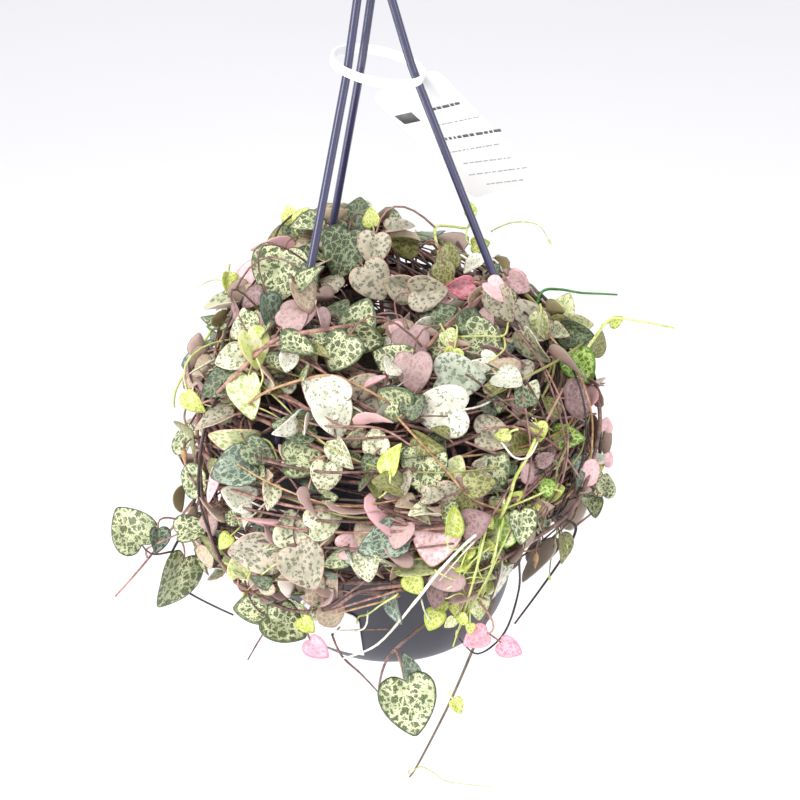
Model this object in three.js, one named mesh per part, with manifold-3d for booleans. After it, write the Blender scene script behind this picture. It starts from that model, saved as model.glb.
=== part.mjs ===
// String of hearts in its hanging pot: a nursery plant whose long stems are wound
// round the pot like a wreath, hanging from a hook on three plastic legs.
// Millimetres, +Z up, origin at the inside top of the hook. -Y is the front.

import * as THREE from 'three';
import { mergeVertices } from 'three/addons/utils/BufferGeometryUtils.js';
import Module from 'manifold-3d';

// ---- Driving dimensions ----

const RIM_DROP = 230; // pot rim below the inside top of the hook
const POT_HEIGHT = 120;
const RIM_RADIUS = 62; // outside of the wall at the rim
const BASE_RADIUS = 43;
const FLANGE_RADIUS = 66;
const WALL = 1.8;
const EAR_RADIUS = 66.5; // hanger eyes, from the pot's axis
const GAP = 0.3; // clearance between neighbouring pieces
const LEG_RADIUS = 1.75;
const LEG_AZIMUTHS = { leg_right: -5, leg_front: -133, leg_back: 119 };
const LEG_WAISTS = { leg_right: 15.2, leg_front: 15.5, leg_back: 9 };
const HUB_AZIMUTHS = { leg_right: -45, leg_front: -115, leg_back: 35 }; // their sockets
const WAIST_DROP = 83; // where the tag's strap draws the legs together
const HUB_TOP = -23;
const HUB_BOTTOM = -35;
const HUB_RADIUS = 7.5;
const HUB_LEG_RADIUS = 4.6;
const HOOK_INSIDE_RADIUS = 9;
const HOOK_ROD_RADIUS = 2;
const TAG_RADIUS = 18.45; // inside of the tag's loop
const TAG_CENTRE = 1.4;
const TAG_PAPER = 0.7;
const STRAP_WIDTH = 3.6;
const STRAP_LEAN = 13; // degrees, down to the right
const PLATE_SIZE = [35, 72];
const PLATE_PLACE = [33.4, 14, -WAIST_DROP - 37.5];
const PLATE_SWING = -28; // degrees, its right edge towards the front
const PLATE_LEAN = 14; // degrees, its foot towards the back
const PLATE_TURN = -38; // degrees, its foot out to the right
const SOIL_DROP = 12; // soil below the rim
const LEG_BERTH = 6.5; // between a wound stem and a leg
const BERTH_SPREAD = 14; // degrees round a leg over which a stem makes way
const LEVEL_WIDTH = 17; // surface between one level of the nest and the next
const STEM_RADIUS = 0.95;
const BLADE = 0.8; // blade thickness
const CLEARANCE = 0.5; // kept between a leaf and any other vine
const LEAF_SPACING = 39;
const LANE_STEP = 18; // degrees between a wound stem's points

const RIM_Z = -RIM_DROP;
const FLOOR_Z = RIM_Z - POT_HEIGHT;
const DEG = Math.PI / 180;
const UP = new THREE.Vector3(0, 0, 1);

// ---- Solids ----

const wasm = await Module();
wasm.setup();

function toSolid(geometry) {
  const plain = geometry.clone();
  plain.deleteAttribute('normal');
  plain.deleteAttribute('uv');
  const merged = mergeVertices(plain, 1e-4);
  return new wasm.Manifold(new wasm.Mesh({
    numProp: 3,
    vertProperties: new Float32Array(merged.attributes.position.array),
    triVerts: new Uint32Array(merged.index.array),
  }));
}

function toGeometry(solid) {
  const mesh = solid.getMesh();
  const geometry = new THREE.BufferGeometry();
  geometry.setAttribute('position', new THREE.BufferAttribute(mesh.vertProperties, 3));
  geometry.setIndex(new THREE.BufferAttribute(mesh.triVerts, 1));
  geometry.computeVertexNormals();
  return geometry;
}

function fromFaces(points, faces) {
  const geometry = new THREE.BufferGeometry();
  const flat = points.flatMap((p) => [p.x, p.y, p.z]);
  geometry.setAttribute('position', new THREE.Float32BufferAttribute(flat, 3));
  geometry.setIndex(faces.flat());
  return geometry;
}

// A closed round bar through the points, with its ends capped flat.
function bar(points, radius, sides) {
  const rings = [];
  let across = new THREE.Vector3(0.31, 0.17, 0.93);
  points.forEach((point, i) => {
    const before = points[Math.max(i - 1, 0)];
    const after = points[Math.min(i + 1, points.length - 1)];
    const along = after.clone().sub(before).normalize();
    if (Math.abs(across.dot(along)) > 0.99) across = new THREE.Vector3(1, 0, 0);
    across = across.clone().addScaledVector(along, -across.dot(along)).normalize();
    const beside = along.clone().cross(across);
    for (let k = 0; k < sides; k += 1) {
      const turn = (k / sides) * 2 * Math.PI;
      rings.push(point.clone()
        .addScaledVector(across, radius * Math.cos(turn))
        .addScaledVector(beside, radius * Math.sin(turn)));
    }
  });
  const faces = [];
  const last = (points.length - 1) * sides;
  for (let i = 0; i < last; i += sides) {
    for (let k = 0; k < sides; k += 1) {
      const next = (k + 1) % sides;
      faces.push([i + k, i + next, i + sides + next], [i + k, i + sides + next, i + sides + k]);
    }
  }
  for (let k = 1; k < sides - 1; k += 1) {
    faces.push([0, k + 1, k], [last, last + k, last + k + 1]);
  }
  return fromFaces(rings, faces);
}

function cylinder(radius, height, sides, x, y, z) {
  const geometry = new THREE.CylinderGeometry(radius, radius, height, sides);
  geometry.rotateX(Math.PI / 2);
  geometry.translate(x, y, z);
  return geometry;
}

function polar(azimuth, radius, z) {
  return new THREE.Vector3(radius * Math.cos(azimuth * DEG), radius * Math.sin(azimuth * DEG), z);
}

// ---- Pot, soil and label ----

// Outside radius and height above the base: a bowl that steepens into a wall.
const POT_PROFILE = [
  [BASE_RADIUS, 0], [46.5, 1.6], [50.3, 6.5], [53.4, 14], [55.6, 24],
  [57.6, 42], [59.5, 65], [61, 92], [RIM_RADIUS, 114],
];

function wallRadius(height) {
  for (let i = 1; i < POT_PROFILE.length; i += 1) {
    const [r0, z0] = POT_PROFILE[i - 1];
    const [r1, z1] = POT_PROFILE[i];
    if (height <= z1) return r0 + ((r1 - r0) * (height - z0)) / (z1 - z0);
  }
  return RIM_RADIUS;
}

function makePot() {
  const sides = 26;
  const flangeUnder = POT_HEIGHT - 2.4;
  const outside = POT_PROFILE.map(([r, z]) => new THREE.Vector2(r, z));
  const flange = [
    [RIM_RADIUS, flangeUnder], [FLANGE_RADIUS, flangeUnder], [FLANGE_RADIUS, POT_HEIGHT - 0.5],
    [FLANGE_RADIUS - 0.5, POT_HEIGHT], [RIM_RADIUS - WALL, POT_HEIGHT],
  ].map(([r, z]) => new THREE.Vector2(r, z));
  const inside = [[92, 0], [42, 0], [24, 0], [14, 0.3], [7, 1.2]]
    .map(([z, lift]) => new THREE.Vector2(wallRadius(z) - WALL - lift, z));
  const floor = [new THREE.Vector2(BASE_RADIUS - 1, 2.4), new THREE.Vector2(0, 2.4)];
  const profile = [new THREE.Vector2(0, 0), ...outside, ...flange, ...inside, ...floor];
  const lathe = new THREE.LatheGeometry(profile, sides);
  lathe.rotateX(Math.PI / 2);
  lathe.translate(0, 0, FLOOR_Z);
  let pot = toSolid(lathe);
  for (const azimuth of Object.values(LEG_AZIMUTHS)) {
    const eye = polar(azimuth, EAR_RADIUS, RIM_Z - 1.2);
    pot = pot.add(toSolid(cylinder(5, 2.3, 10, eye.x, eye.y, eye.z)));
    pot = pot.subtract(toSolid(cylinder(LEG_RADIUS + GAP, 8, 8, eye.x, eye.y, eye.z)));
  }
  for (let i = 0; i < 6; i += 1) {
    const hole = polar(60 * i + 30, BASE_RADIUS * 0.62, FLOOR_Z);
    pot = pot.subtract(toSolid(cylinder(3.5, 8, 8, hole.x, hole.y, hole.z)));
  }
  return pot;
}

function makeSoil(rootPlaces) {
  const side = [7, 14, 24, 42, 65, 92, POT_HEIGHT - SOIL_DROP].map((z) => {
    const inset = WALL + 3 * GAP + (z < 20 ? 1.2 : 0);
    return new THREE.Vector2(wallRadius(z) - inset, z);
  });
  const profile = [
    new THREE.Vector2(0, 2.4 + GAP), new THREE.Vector2(BASE_RADIUS - 3, 2.4 + GAP), ...side,
    new THREE.Vector2(32, POT_HEIGHT - SOIL_DROP + 2), new THREE.Vector2(0, POT_HEIGHT - SOIL_DROP + 3),
  ];
  const lathe = new THREE.LatheGeometry(profile, 16);
  lathe.rotateX(Math.PI / 2);
  lathe.translate(0, 0, FLOOR_Z);
  let soil = toSolid(lathe);
  for (const place of rootPlaces) {
    const hole = cylinder(STEM_RADIUS + 0.7, 40, 5, place.x, place.y, RIM_Z - SOIL_DROP + 5);
    soil = soil.subtract(toSolid(hole));
  }
  return soil;
}

// A blank sticker bent to the wall, on the pot's front left.
function makeLabel() {
  const [from, to, low, high] = [-136, -105, 9, 36];
  const columns = 7;
  const rows = 4;
  const points = [];
  for (const lift of [GAP, GAP + 0.6]) {
    for (let j = 0; j <= rows; j += 1) {
      for (let i = 0; i <= columns; i += 1) {
        const z = low + ((high - low) * j) / rows;
        points.push(polar(from + ((to - from) * i) / columns, wallRadius(z) + lift + 0.2, FLOOR_Z + z));
      }
    }
  }
  const width = columns + 1;
  const sheet = width * (rows + 1);
  const faces = [];
  for (let j = 0; j < rows; j += 1) {
    for (let i = 0; i < columns; i += 1) {
      const a = j * width + i;
      const b = a + sheet;
      faces.push([a, a + width, a + 1], [a + 1, a + width, a + width + 1]);
      faces.push([b, b + 1, b + width], [b + 1, b + width + 1, b + width]);
    }
  }
  const edge = [];
  for (let i = 0; i < columns; i += 1) edge.push(i);
  for (let j = 0; j < rows; j += 1) edge.push(columns + j * width);
  for (let i = columns; i > 0; i -= 1) edge.push(rows * width + i);
  for (let j = rows; j > 0; j -= 1) edge.push(j * width);
  edge.forEach((a, i) => {
    const b = edge[(i + 1) % edge.length];
    faces.push([a, b, b + sheet], [a, b + sheet, a + sheet]);
  });
  return toSolid(fromFaces(points, faces));
}

// ---- Hanger and tag ----

function legPoints(name) {
  const azimuth = LEG_AZIMUTHS[name];
  return [
    polar(HUB_AZIMUTHS[name], HUB_LEG_RADIUS, HUB_BOTTOM + 6),
    polar(HUB_AZIMUTHS[name], HUB_LEG_RADIUS, HUB_BOTTOM - 1),
    polar(azimuth, LEG_WAISTS[name], -WAIST_DROP),
    polar(azimuth, EAR_RADIUS, RIM_Z + 1.5),
    polar(azimuth, EAR_RADIUS, RIM_Z - 5),
  ];
}

// Each leg passes through its eye and is held by a barbed end under it.
function makeLeg(name) {
  const shaft = toSolid(bar(legPoints(name), LEG_RADIUS, 8));
  const foot = polar(LEG_AZIMUTHS[name], EAR_RADIUS, 0);
  const barb = new THREE.LatheGeometry([
    new THREE.Vector2(0, 0), new THREE.Vector2(1.4, 0), new THREE.Vector2(3, 4),
    new THREE.Vector2(0, 4),
  ], 8);
  barb.rotateX(Math.PI / 2);
  barb.translate(foot.x, foot.y, RIM_Z - 2.4 - GAP - 4);
  return shaft.add(toSolid(barb));
}

function makeHook() {
  const arc = [];
  const radius = HOOK_INSIDE_RADIUS + HOOK_ROD_RADIUS;
  arc.push(new THREE.Vector3(0, 0, HUB_TOP - 2));
  for (let turn = -90; turn <= 200; turn += 14.5) {
    arc.push(new THREE.Vector3(
      radius * Math.cos(turn * DEG), 0, -HOOK_INSIDE_RADIUS + radius * Math.sin(turn * DEG),
    ));
  }
  const hub = new THREE.LatheGeometry([
    new THREE.Vector2(0, HUB_BOTTOM), new THREE.Vector2(HUB_RADIUS, HUB_BOTTOM),
    new THREE.Vector2(HUB_RADIUS, HUB_BOTTOM + 8), new THREE.Vector2(3, HUB_TOP),
    new THREE.Vector2(0, HUB_TOP),
  ], 16);
  hub.rotateX(Math.PI / 2);
  let hook = toSolid(bar(arc, HOOK_ROD_RADIUS, 8)).add(toSolid(hub));
  for (const azimuth of Object.values(HUB_AZIMUTHS)) {
    const socket = polar(azimuth, HUB_LEG_RADIUS, HUB_BOTTOM);
    const reach = 2 * (6 + GAP);
    hook = hook.subtract(toSolid(cylinder(LEG_RADIUS + GAP, reach, 8, socket.x, socket.y, socket.z)));
  }
  return hook;
}

// A paper loop resting on the legs where they flare, with a bare plate on its right end.
function makeTag() {
  const outline = new THREE.Shape();
  outline.absarc(TAG_CENTRE, 0, TAG_RADIUS + TAG_PAPER, 0, 2 * Math.PI);
  const inside = new THREE.Path();
  inside.absarc(TAG_CENTRE, 0, TAG_RADIUS, 0, 2 * Math.PI);
  outline.holes.push(inside);
  const strap = { depth: STRAP_WIDTH, curveSegments: 16, bevelEnabled: false };
  const band = new THREE.ExtrudeGeometry(outline, strap);
  band.rotateY(STRAP_LEAN * DEG);
  band.translate(0, 0, -WAIST_DROP - 2);
  const plate = new THREE.BoxGeometry(PLATE_SIZE[0], TAG_PAPER, PLATE_SIZE[1]);
  plate.rotateZ(PLATE_SWING * DEG);
  plate.rotateX(PLATE_LEAN * DEG);
  plate.rotateY(PLATE_TURN * DEG);
  plate.translate(...PLATE_PLACE);
  return toSolid(band).add(toSolid(plate));
}

// ---- The nest of wound stems ----

// Radius and height from the rim, from the nest's lower edge up to its crown.
const NEST_PROFILE = [
  [74, -84], [84, -72], [88.5, -52], [89, -30], [86.5, -10],
  [80, 6], [69, 18], [54, 27], [36, 32], [16, 34],
];

function draw(seed, turn) {
  const wave = Math.sin(seed * 12.9898 + turn * 78.233) * 43758.5453;
  return wave - Math.floor(wave);
}

function smoothstep(low, high, value) {
  const t = Math.min(Math.max((value - low) / (high - low), 0), 1);
  return t * t * (3 - 2 * t);
}

function blend(a, b, c, d, t) {
  return 0.5 * (2 * b + (c - a) * t + (2 * a - 5 * b + 4 * c - d) * t * t
    + (3 * b - 3 * c + d - a) * t * t * t);
}

function profileAt(level) {
  const last = NEST_PROFILE.length - 1;
  const i = Math.min(Math.max(Math.floor(level), 0), last - 1);
  const pick = (k) => NEST_PROFILE[Math.min(Math.max(k, 0), last)];
  return [0, 1].map((axis) => (
    blend(pick(i - 1)[axis], pick(i)[axis], pick(i + 1)[axis], pick(i + 2)[axis], level - i)
  ));
}

// The nest hangs less far in front, and is heaped at the back, left of the middle, and
// against the front leg.
function frontShortening(azimuth) {
  return 0.88 - 0.09 * Math.cos(azimuth * DEG) + 0.12 * Math.sin(azimuth * DEG);
}

function heap(azimuth) {
  const bump = (peak, spread) => {
    const fromPeak = ((azimuth - peak + 540) % 360) - 180;
    return Math.exp(-((fromPeak / spread) ** 2));
  };
  return 14 * Math.max(Math.sin(azimuth * DEG), 0) + 16 * bump(105, 35)
    + 32 * bump(LEG_AZIMUTHS.leg_front, 24);
}

// A place in the nest: azimuth round the pot, level up the profile, depth below its surface.
function nestPoint(azimuth, level, depth) {
  const [r, z] = profileAt(level);
  const [r1, z1] = profileAt(level + 0.05);
  const run = Math.hypot(r1 - r, z1 - z);
  const radius = (r - (depth * (z1 - z)) / run) * (1 + 0.015 * Math.sin(4 * azimuth * DEG + 1));
  let height = z + (depth * (r1 - r)) / run;
  if (height < 0) height *= frontShortening(azimuth);
  height += heap(azimuth) * smoothstep(-12, 22, height) * Math.min(1, radius / 50);
  height += 1.5 * Math.sin(3 * azimuth * DEG);
  return polar(azimuth, radius, RIM_Z + height);
}

function nestNormal(azimuth, level) {
  return nestPoint(azimuth, level, -1).sub(nestPoint(azimuth, level, 0)).normalize();
}

function legRadiusAt(name, z) {
  const along = (z - RIM_Z - 1.5) / (-WAIST_DROP - RIM_Z - 1.5);
  return EAR_RADIUS + (LEG_WAISTS[name] - EAR_RADIUS) * along;
}

// Levels shift a little, so that a wound stem passes clear of the hanger's legs.
function clearOfLegs(azimuth, level, depth) {
  let shift = 0;
  for (const name of Object.keys(LEG_AZIMUTHS)) {
    const fromLeg = ((azimuth - LEG_AZIMUTHS[name] + 540) % 360) - 180;
    const there = nestPoint(LEG_AZIMUTHS[name], level, depth);
    const miss = legRadiusAt(name, there.z) - Math.hypot(there.x, there.y);
    if (there.z > RIM_Z && Math.abs(miss) < LEG_BERTH) {
      const push = (LEG_BERTH - Math.abs(miss)) * (miss >= 0 ? 1 : -1);
      shift += (push / LEVEL_WIDTH) * Math.exp(-((fromLeg / BERTH_SPREAD) ** 2));
    }
  }
  return level + shift;
}

// ---- Places in the slanted front view ----

// The front view looks down at 30 degrees from 800 mm away. A place in it is given by
// its distance right and up from the pot's axis just below the rim.
const VIEW_CENTRE = new THREE.Vector3(0, 0, RIM_Z - 8.6);
const VIEW_ELEVATION = 30 * DEG;
const VIEW_DISTANCE = 800;
const VIEW_OFFSET = 6.3;
const TO_EYE = new THREE.Vector3(0, -Math.cos(VIEW_ELEVATION), Math.sin(VIEW_ELEVATION));
const VIEW_RIGHT = new THREE.Vector3(1, 0, 0);
const VIEW_UP = new THREE.Vector3(0, Math.sin(VIEW_ELEVATION), Math.cos(VIEW_ELEVATION));
const EYE = VIEW_CENTRE.clone().addScaledVector(TO_EYE, VIEW_DISTANCE)
  .addScaledVector(VIEW_RIGHT, VIEW_OFFSET);

function viewRay(right, up) {
  return VIEW_CENTRE.clone().addScaledVector(VIEW_RIGHT, right).addScaledVector(VIEW_UP, up)
    .sub(EYE).normalize();
}

// The point seen at a place in the view, at a given distance behind the pot's axis.
function viewPoint(right, up, behind) {
  const ray = viewRay(right, up);
  return EYE.clone().addScaledVector(ray, (behind - EYE.y) / ray.y);
}

const NEST_GRID = [];
for (let azimuth = -180; azimuth < 180; azimuth += 5) {
  for (let level = 0; level <= 9; level += 0.33) {
    NEST_GRID.push(nestPoint(azimuth, level, 0));
  }
}

// The point seen at a place in the view, on the nest or level with its nearest edge.
function nestSeenAt(right, up) {
  const ray = viewRay(right, up);
  let best = null;
  for (const point of NEST_GRID) {
    const reach = point.clone().sub(EYE).dot(ray);
    const miss = EYE.clone().addScaledVector(ray, reach).distanceTo(point);
    const score = miss < 6 ? reach - 10000 : miss;
    if (best === null || score < best.score) best = { score, reach };
  }
  return EYE.clone().addScaledVector(ray, best.reach);
}

// ---- Stems ----

// Each stem: level and depth of its lane, azimuth where it starts, degrees that it winds,
// root's distance from the pot's axis, and any free end, as places in the front view.
const STEMS = [
  { level: 0.2, depth: 4, from: -60, wind: -340, root: 50, free: [[10, -103, -82], [-3.8, -116, -76],
    [-7.3, -130, -73], [-6, -136, -72]] },
  { level: 0.8, depth: 8, from: -66, wind: 370, root: 38, free: [[45.3, -89, -66], [34.5, -113, -58],
    [23, -137, -52], [9, -162, -48], [5, -167.5, -47]] },
  { level: 1.4, depth: 4, from: 28, wind: 158, root: 52, free: [[-84, -36, -17], [-90, -52, -20],
    [-97, -64, -22], [-98, -75, -24], [-88, -84, -32], [-71, -93, -50]] },
  { level: 1.4, depth: 4, from: -160, wind: 132, root: 44, free: [[82.5, -58.7, -33], [75, -74, -38],
    [54, -101, -48]] },
  { level: 2.0, depth: 8, from: -148, wind: 332, root: 34, free: [[-82, -36, -8], [-108, -67, -12],
    [-123, -83, -14]] },
  { level: 2.6, depth: 4, from: -30, wind: -340, root: 54, free: [] },
  { level: 3.2, depth: 8, from: 82, wind: 230, root: 30, free: [[46, -66, -84], [36, -88, -80],
    [27, -109, -76]] },
  { level: 3.8, depth: 4, from: 150, wind: -335, root: 48, free: [] },
  { level: 4.4, depth: 8, from: 60, wind: -60, root: 42, free: [[97, 29, 6], [105.5, 33, 5],
    [129, 28, 2]] },
  { level: 4.4, depth: 8, from: 75, wind: 265, root: 56, free: [] },
  { level: 5.0, depth: 4, from: -82, wind: -113, root: 46, free: [[-70, 40, 30], [-79, 30, 22],
    [-92.5, 9, 14], [-94, 0, 12]] },
  { level: 5.0, depth: 4, from: -52, wind: 209, root: 40, free: [] },
  { level: 5.6, depth: 8, from: -100, wind: 116, root: 36, free: [[71, 46, 30], [88, 45, 28],
    [104.4, 43.6, 26]] },
  { level: 5.6, depth: 8, from: -108, wind: -225, root: 50, free: [] },
  { level: 6.2, depth: 4, from: 172, wind: 345, root: 48, free: [] },
  { level: 6.85, depth: 6, from: 90, wind: -340, root: 44, free: [] },
  { level: 7.5, depth: 4, from: -20, wind: 70, root: 30, free: [[24.5, 76, 58], [38.6, 75.5, 55],
    [40, 84, 53]] },
  { level: 7.6, depth: 7, from: 80, wind: 245, root: 26, free: [] },
  { level: 8.3, depth: 5, from: 150, wind: 340, root: 14, free: [] },
];

function smoothed(points, steps) {
  const path = [];
  for (let i = 0; i < points.length - 1; i += 1) {
    const pick = (k) => points[Math.min(Math.max(k, 0), points.length - 1)];
    for (let k = 0; k < steps; k += 1) {
      const axis = (name) => blend(
        pick(i - 1)[name], pick(i)[name], pick(i + 1)[name], pick(i + 2)[name], k / steps,
      );
      path.push(new THREE.Vector3(axis('x'), axis('y'), axis('z')));
    }
  }
  path.push(points[points.length - 1]);
  return path;
}

function rootPlace(stem) {
  return polar(stem.from, stem.root, 0);
}

// From its hole in the soil, over the rim where the lane lies outside it, and out to the lane.
function climb(stem, lane) {
  const root = rootPlace(stem);
  const soil = RIM_Z - SOIL_DROP;
  const path = [new THREE.Vector3(root.x, root.y, soil - 9), new THREE.Vector3(root.x, root.y, soil + 6)];
  const away = Math.hypot(lane.x, lane.y);
  if (lane.z < RIM_Z + 4) {
    path.push(polar(stem.from, RIM_RADIUS - 4, RIM_Z + 3));
    path.push(polar(stem.from, FLANGE_RADIUS + 1, RIM_Z + 3));
    path.push(polar(stem.from, FLANGE_RADIUS + 3, RIM_Z - 3));
    for (let z = RIM_Z - 20; z > lane.z + 8; z -= 18) {
      path.push(polar(stem.from, wallRadius(z - FLOOR_Z) + 4, z));
    }
    path.push(polar(stem.from, away - 9, lane.z + 2));
  } else if (away > RIM_RADIUS - 4) {
    path.push(polar(stem.from, RIM_RADIUS - 5, RIM_Z + 3));
  }
  return path;
}

function stemPath(stem) {
  const count = Math.round(Math.abs(stem.wind) / LANE_STEP);
  const lane = [];
  for (let i = 0; i <= count; i += 1) {
    const azimuth = stem.from + (stem.wind * i) / count;
    lane.push(nestPoint(azimuth, clearOfLegs(azimuth, stem.level, stem.depth), stem.depth));
  }
  const rise = climb(stem, lane[0]);
  const free = stem.free.map(([right, up, behind]) => viewPoint(right, up, behind));
  const tail = free.length ? smoothed([lane[count], ...free], 2).slice(1) : [];
  return { path: [...rise, ...lane, ...tail], laneStart: rise.length, laneEnd: rise.length + count };
}

// ---- Leaves ----

// Half a heart from beside the notch round to the tip, for a leaf 1 long and 1 wide:
// along the midrib, and out to the side.
const HEART = [[-0.1, 0.2], [-0.03, 0.4], [0.22, 0.5], [0.6, 0.34]];
const SMALL_HEART = [[-0.1, 0.24], [0.08, 0.49], [0.54, 0.39]];
const NOTCH_TO_TIP = 0.9;
const NECK = 0.55; // half the width of the leaf stalk at the blade
const STALK_TAPER = 0.7;
const STALK_SINK = -0.15; // its end stops just short of the stem's middle

// One closed sheet from the tip of its stalk to the tip of its blade. The blade is folded
// up along the midrib and curled back, and the stalk leaves it through the notch.
function leafSheet(leaf, foot, grow) {
  const { base, axis, normal, size } = leaf;
  const side = normal.clone().cross(axis);
  const half = leaf.fine ? HEART : SMALL_HEART;
  const neck = NECK + grow / 2;
  const bladePoint = ([x, y]) => {
    const across = y * size * leaf.width;
    const along = x * size;
    const rise = Math.abs(across) * Math.sin(leaf.fold) - (leaf.curl * along * along) / size;
    return base.clone().addScaledVector(axis, along + grow * (x - 0.4) * 1.6)
      .addScaledVector(side, across * Math.cos(leaf.fold) + Math.sign(y) * grow)
      .addScaledVector(normal, rise);
  };
  const mirrored = half.map(([x, y]) => [x, -y]).reverse();
  const rim = [
    base.clone().addScaledVector(side, neck),
    ...[...half, [NOTCH_TO_TIP, 0], ...mirrored].map(bladePoint),
    base.clone().addScaledVector(side, -neck),
  ];
  const count = rim.length;
  const lift = (BLADE + grow) / 2;
  const points = [
    ...rim.map((p) => p.clone().addScaledVector(normal, lift)),
    ...rim.map((p) => p.clone().addScaledVector(normal, -lift)),
  ];
  const faces = [];
  const tip = (count - 1) / 2;
  const last = count - 1;
  faces.push([0, last, tip], [count, count + tip, count + last]);
  for (let i = 1; i < tip; i += 1) {
    faces.push([0, i + 1, i], [count, count + i, count + i + 1]);
    const j = last - i;
    faces.push([last, j, j - 1], [count + last, count + j - 1, count + j]);
  }
  for (let i = 0; i < last; i += 1) {
    faces.push([i, i + 1, count + i + 1], [i, count + i + 1, count + i]);
  }
  const stalk = foot.clone().sub(base).normalize();
  const top = side.clone().cross(stalk).multiplyScalar(lift * STALK_TAPER);
  const edge = side.clone().multiplyScalar(neck * STALK_TAPER);
  const end = foot.clone().addScaledVector(stalk, STALK_SINK);
  const f = points.length;
  points.push(
    end.clone().add(edge).add(top), end.clone().sub(edge).add(top),
    end.clone().add(edge).sub(top), end.clone().sub(edge).sub(top),
  );
  const [a, b, c, d] = [0, last, count, count + last];
  faces.push([a, f, f + 1], [a, f + 1, b], [c, f + 3, f + 2], [c, d, f + 3]);
  faces.push([a, c, f + 2], [a, f + 2, f], [b, f + 1, f + 3], [b, f + 3, d]);
  faces.push([f, f + 2, f + 3], [f, f + 3, f + 1]);
  return toSolid(fromFaces(points, faces));
}

// The front's own leaves: place right and up in the front view, length, direction of the
// tip in that view, and roll about the midrib.
const SHOWN_LEAVES = [
  [-45.4, 57.3, 27, -105, 8], [-50.5, 42, 15, -85, 50], [-32, 54, 15, -55, 60],
  [-39, 75.5, 12, 120, 20], [-57.4, 47, 12, 200, 35], [-40, 37, 13, 30, 15], [-26.6, 36, 12, -70, 65],
  [-16.4, 66, 24, -105, 10], [-10, 82.7, 17, 80, 5], [-58, 25, 18, -75, 40], [-68.5, 21, 13, 190, 20],
  [-38, 25.3, 16, -10, 45], [-10, 37, 18, 70, 15], [-9.3, 28, 18, -20, 30], [-19.5, 22, 18, -120, 5],
  [-72, 9.8, 20, -165, 40], [-61, 4, 20, -95, 40], [-85, 1.8, 13, -60, 50], [-27, 4, 21, 150, 10],
  [-23.5, -6, 19, -70, 20], [8.5, 77, 14, 10, 60], [9.5, 69, 16, 175, 50], [-3, 66.7, 16, -100, 10],
  [-4, 53, 19, -60, 5], [7.6, 50, 15, 160, 20], [20, 47, 18, 0, 15], [30, 63.5, 13, 100, 20],
  [28, 55, 12, -80, 20], [34.5, 49, 14, 200, 35], [40.5, 59, 11, -150, 50], [60, 50, 13, -40, 20],
  [25, 37, 16, 35, 35], [12.5, 24, 17, -80, 10], [13, 12, 18, -90, 15], [51.4, 41, 16, -70, 45],
  [66, 21.8, 19, -60, 55], [44, 25, 20, -20, 20], [29.6, 18, 10, -110, 20], [87, 12, 17, -60, 5],
  [95, 22, 12, 60, 50], [33, 9, 22, 0, 10], [24, -5, 24, 180, 15], [-67.5, -15, 22, 175, 55],
  [-68, -28, 20, -170, 20], [-57, -21, 15, -40, 30], [-37, -25, 19, 0, 15], [-28, -33, 14, -100, 10],
  [-20, -23, 15, -70, 50], [-66.5, -40, 15, 150, 15], [-44, -55.5, 16, 90, 10], [-29, -53, 16, 20, 15],
  [-18, -63.5, 12, 10, 20], [-38, -71.5, 21, -70, 10], [-67.6, -71.5, 12, 80, 20],
  [-62, -90, 17, 170, 15], [-48, -98, 21, -30, 15], [-33.8, -109, 12, -50, 25], [-5, -18, 12, 90, 0],
  [-7.5, -29, 10, -110, 10], [2, -26, 14, 80, 50], [16, -31.5, 21, -88, 5], [29.7, -30.7, 11, 60, 10],
  [33, -47, 13, -120, 20], [40, -38, 13, 20, 25], [48.5, -32.5, 15, -80, 20], [20, -62, 23, -95, 10],
  [28, -54, 13, 75, 50], [47.5, -58.7, 16, 190, 10], [58, -57, 15, -80, 30], [80, -18.7, 15, -20, 35],
  [72.6, -42.7, 11, 20, 15], [96, -41, 11, 80, 10], [91, -50, 10, -100, 30], [-11, -73, 13, -90, 15],
  [12.7, -74, 20, 10, 55], [1, -92, 15, -85, 60], [10, -82, 10, -60, 10], [18, -98, 10, -110, 10],
  [19.4, -87.5, 11, -90, 30], [36.6, -107, 12, -160, 20], [51.5, -111.6, 11, -30, 25],
  [76.5, -68, 14, -80, 60], [-115, -53, 22, 115, 5], [-95.6, -77, 27, -115, 48],
  [-88, -54.7, 16, 10, 30], [-102, -58, 12, -95, 30], [6, -135.5, 26, -80, 0], [6, -119, 13, 95, 50],
];

function shownLeaf(row, index, stand) {
  const [right, up, size, turn, roll] = row;
  const centre = nestSeenAt(right, up).addScaledVector(TO_EYE, stand);
  const toEye = EYE.clone().sub(centre).normalize();
  const level = UP.clone().addScaledVector(toEye, -UP.dot(toEye)).normalize();
  const across = level.clone().cross(toEye);
  const axis = across.multiplyScalar(Math.cos(turn * DEG)).addScaledVector(level, Math.sin(turn * DEG));
  const tilt = roll * (draw(index, 1) < 0.5 ? 1 : -1) * DEG;
  const normal = toEye.applyAxisAngle(axis, tilt);
  return {
    base: centre.clone().addScaledVector(axis, -0.4 * size), axis, normal, size,
    width: 1, fold: 0.22 + 0.2 * draw(index, 2), curl: 0.1 + 0.2 * draw(index, 3), fine: size > 19,
  };
}

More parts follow.
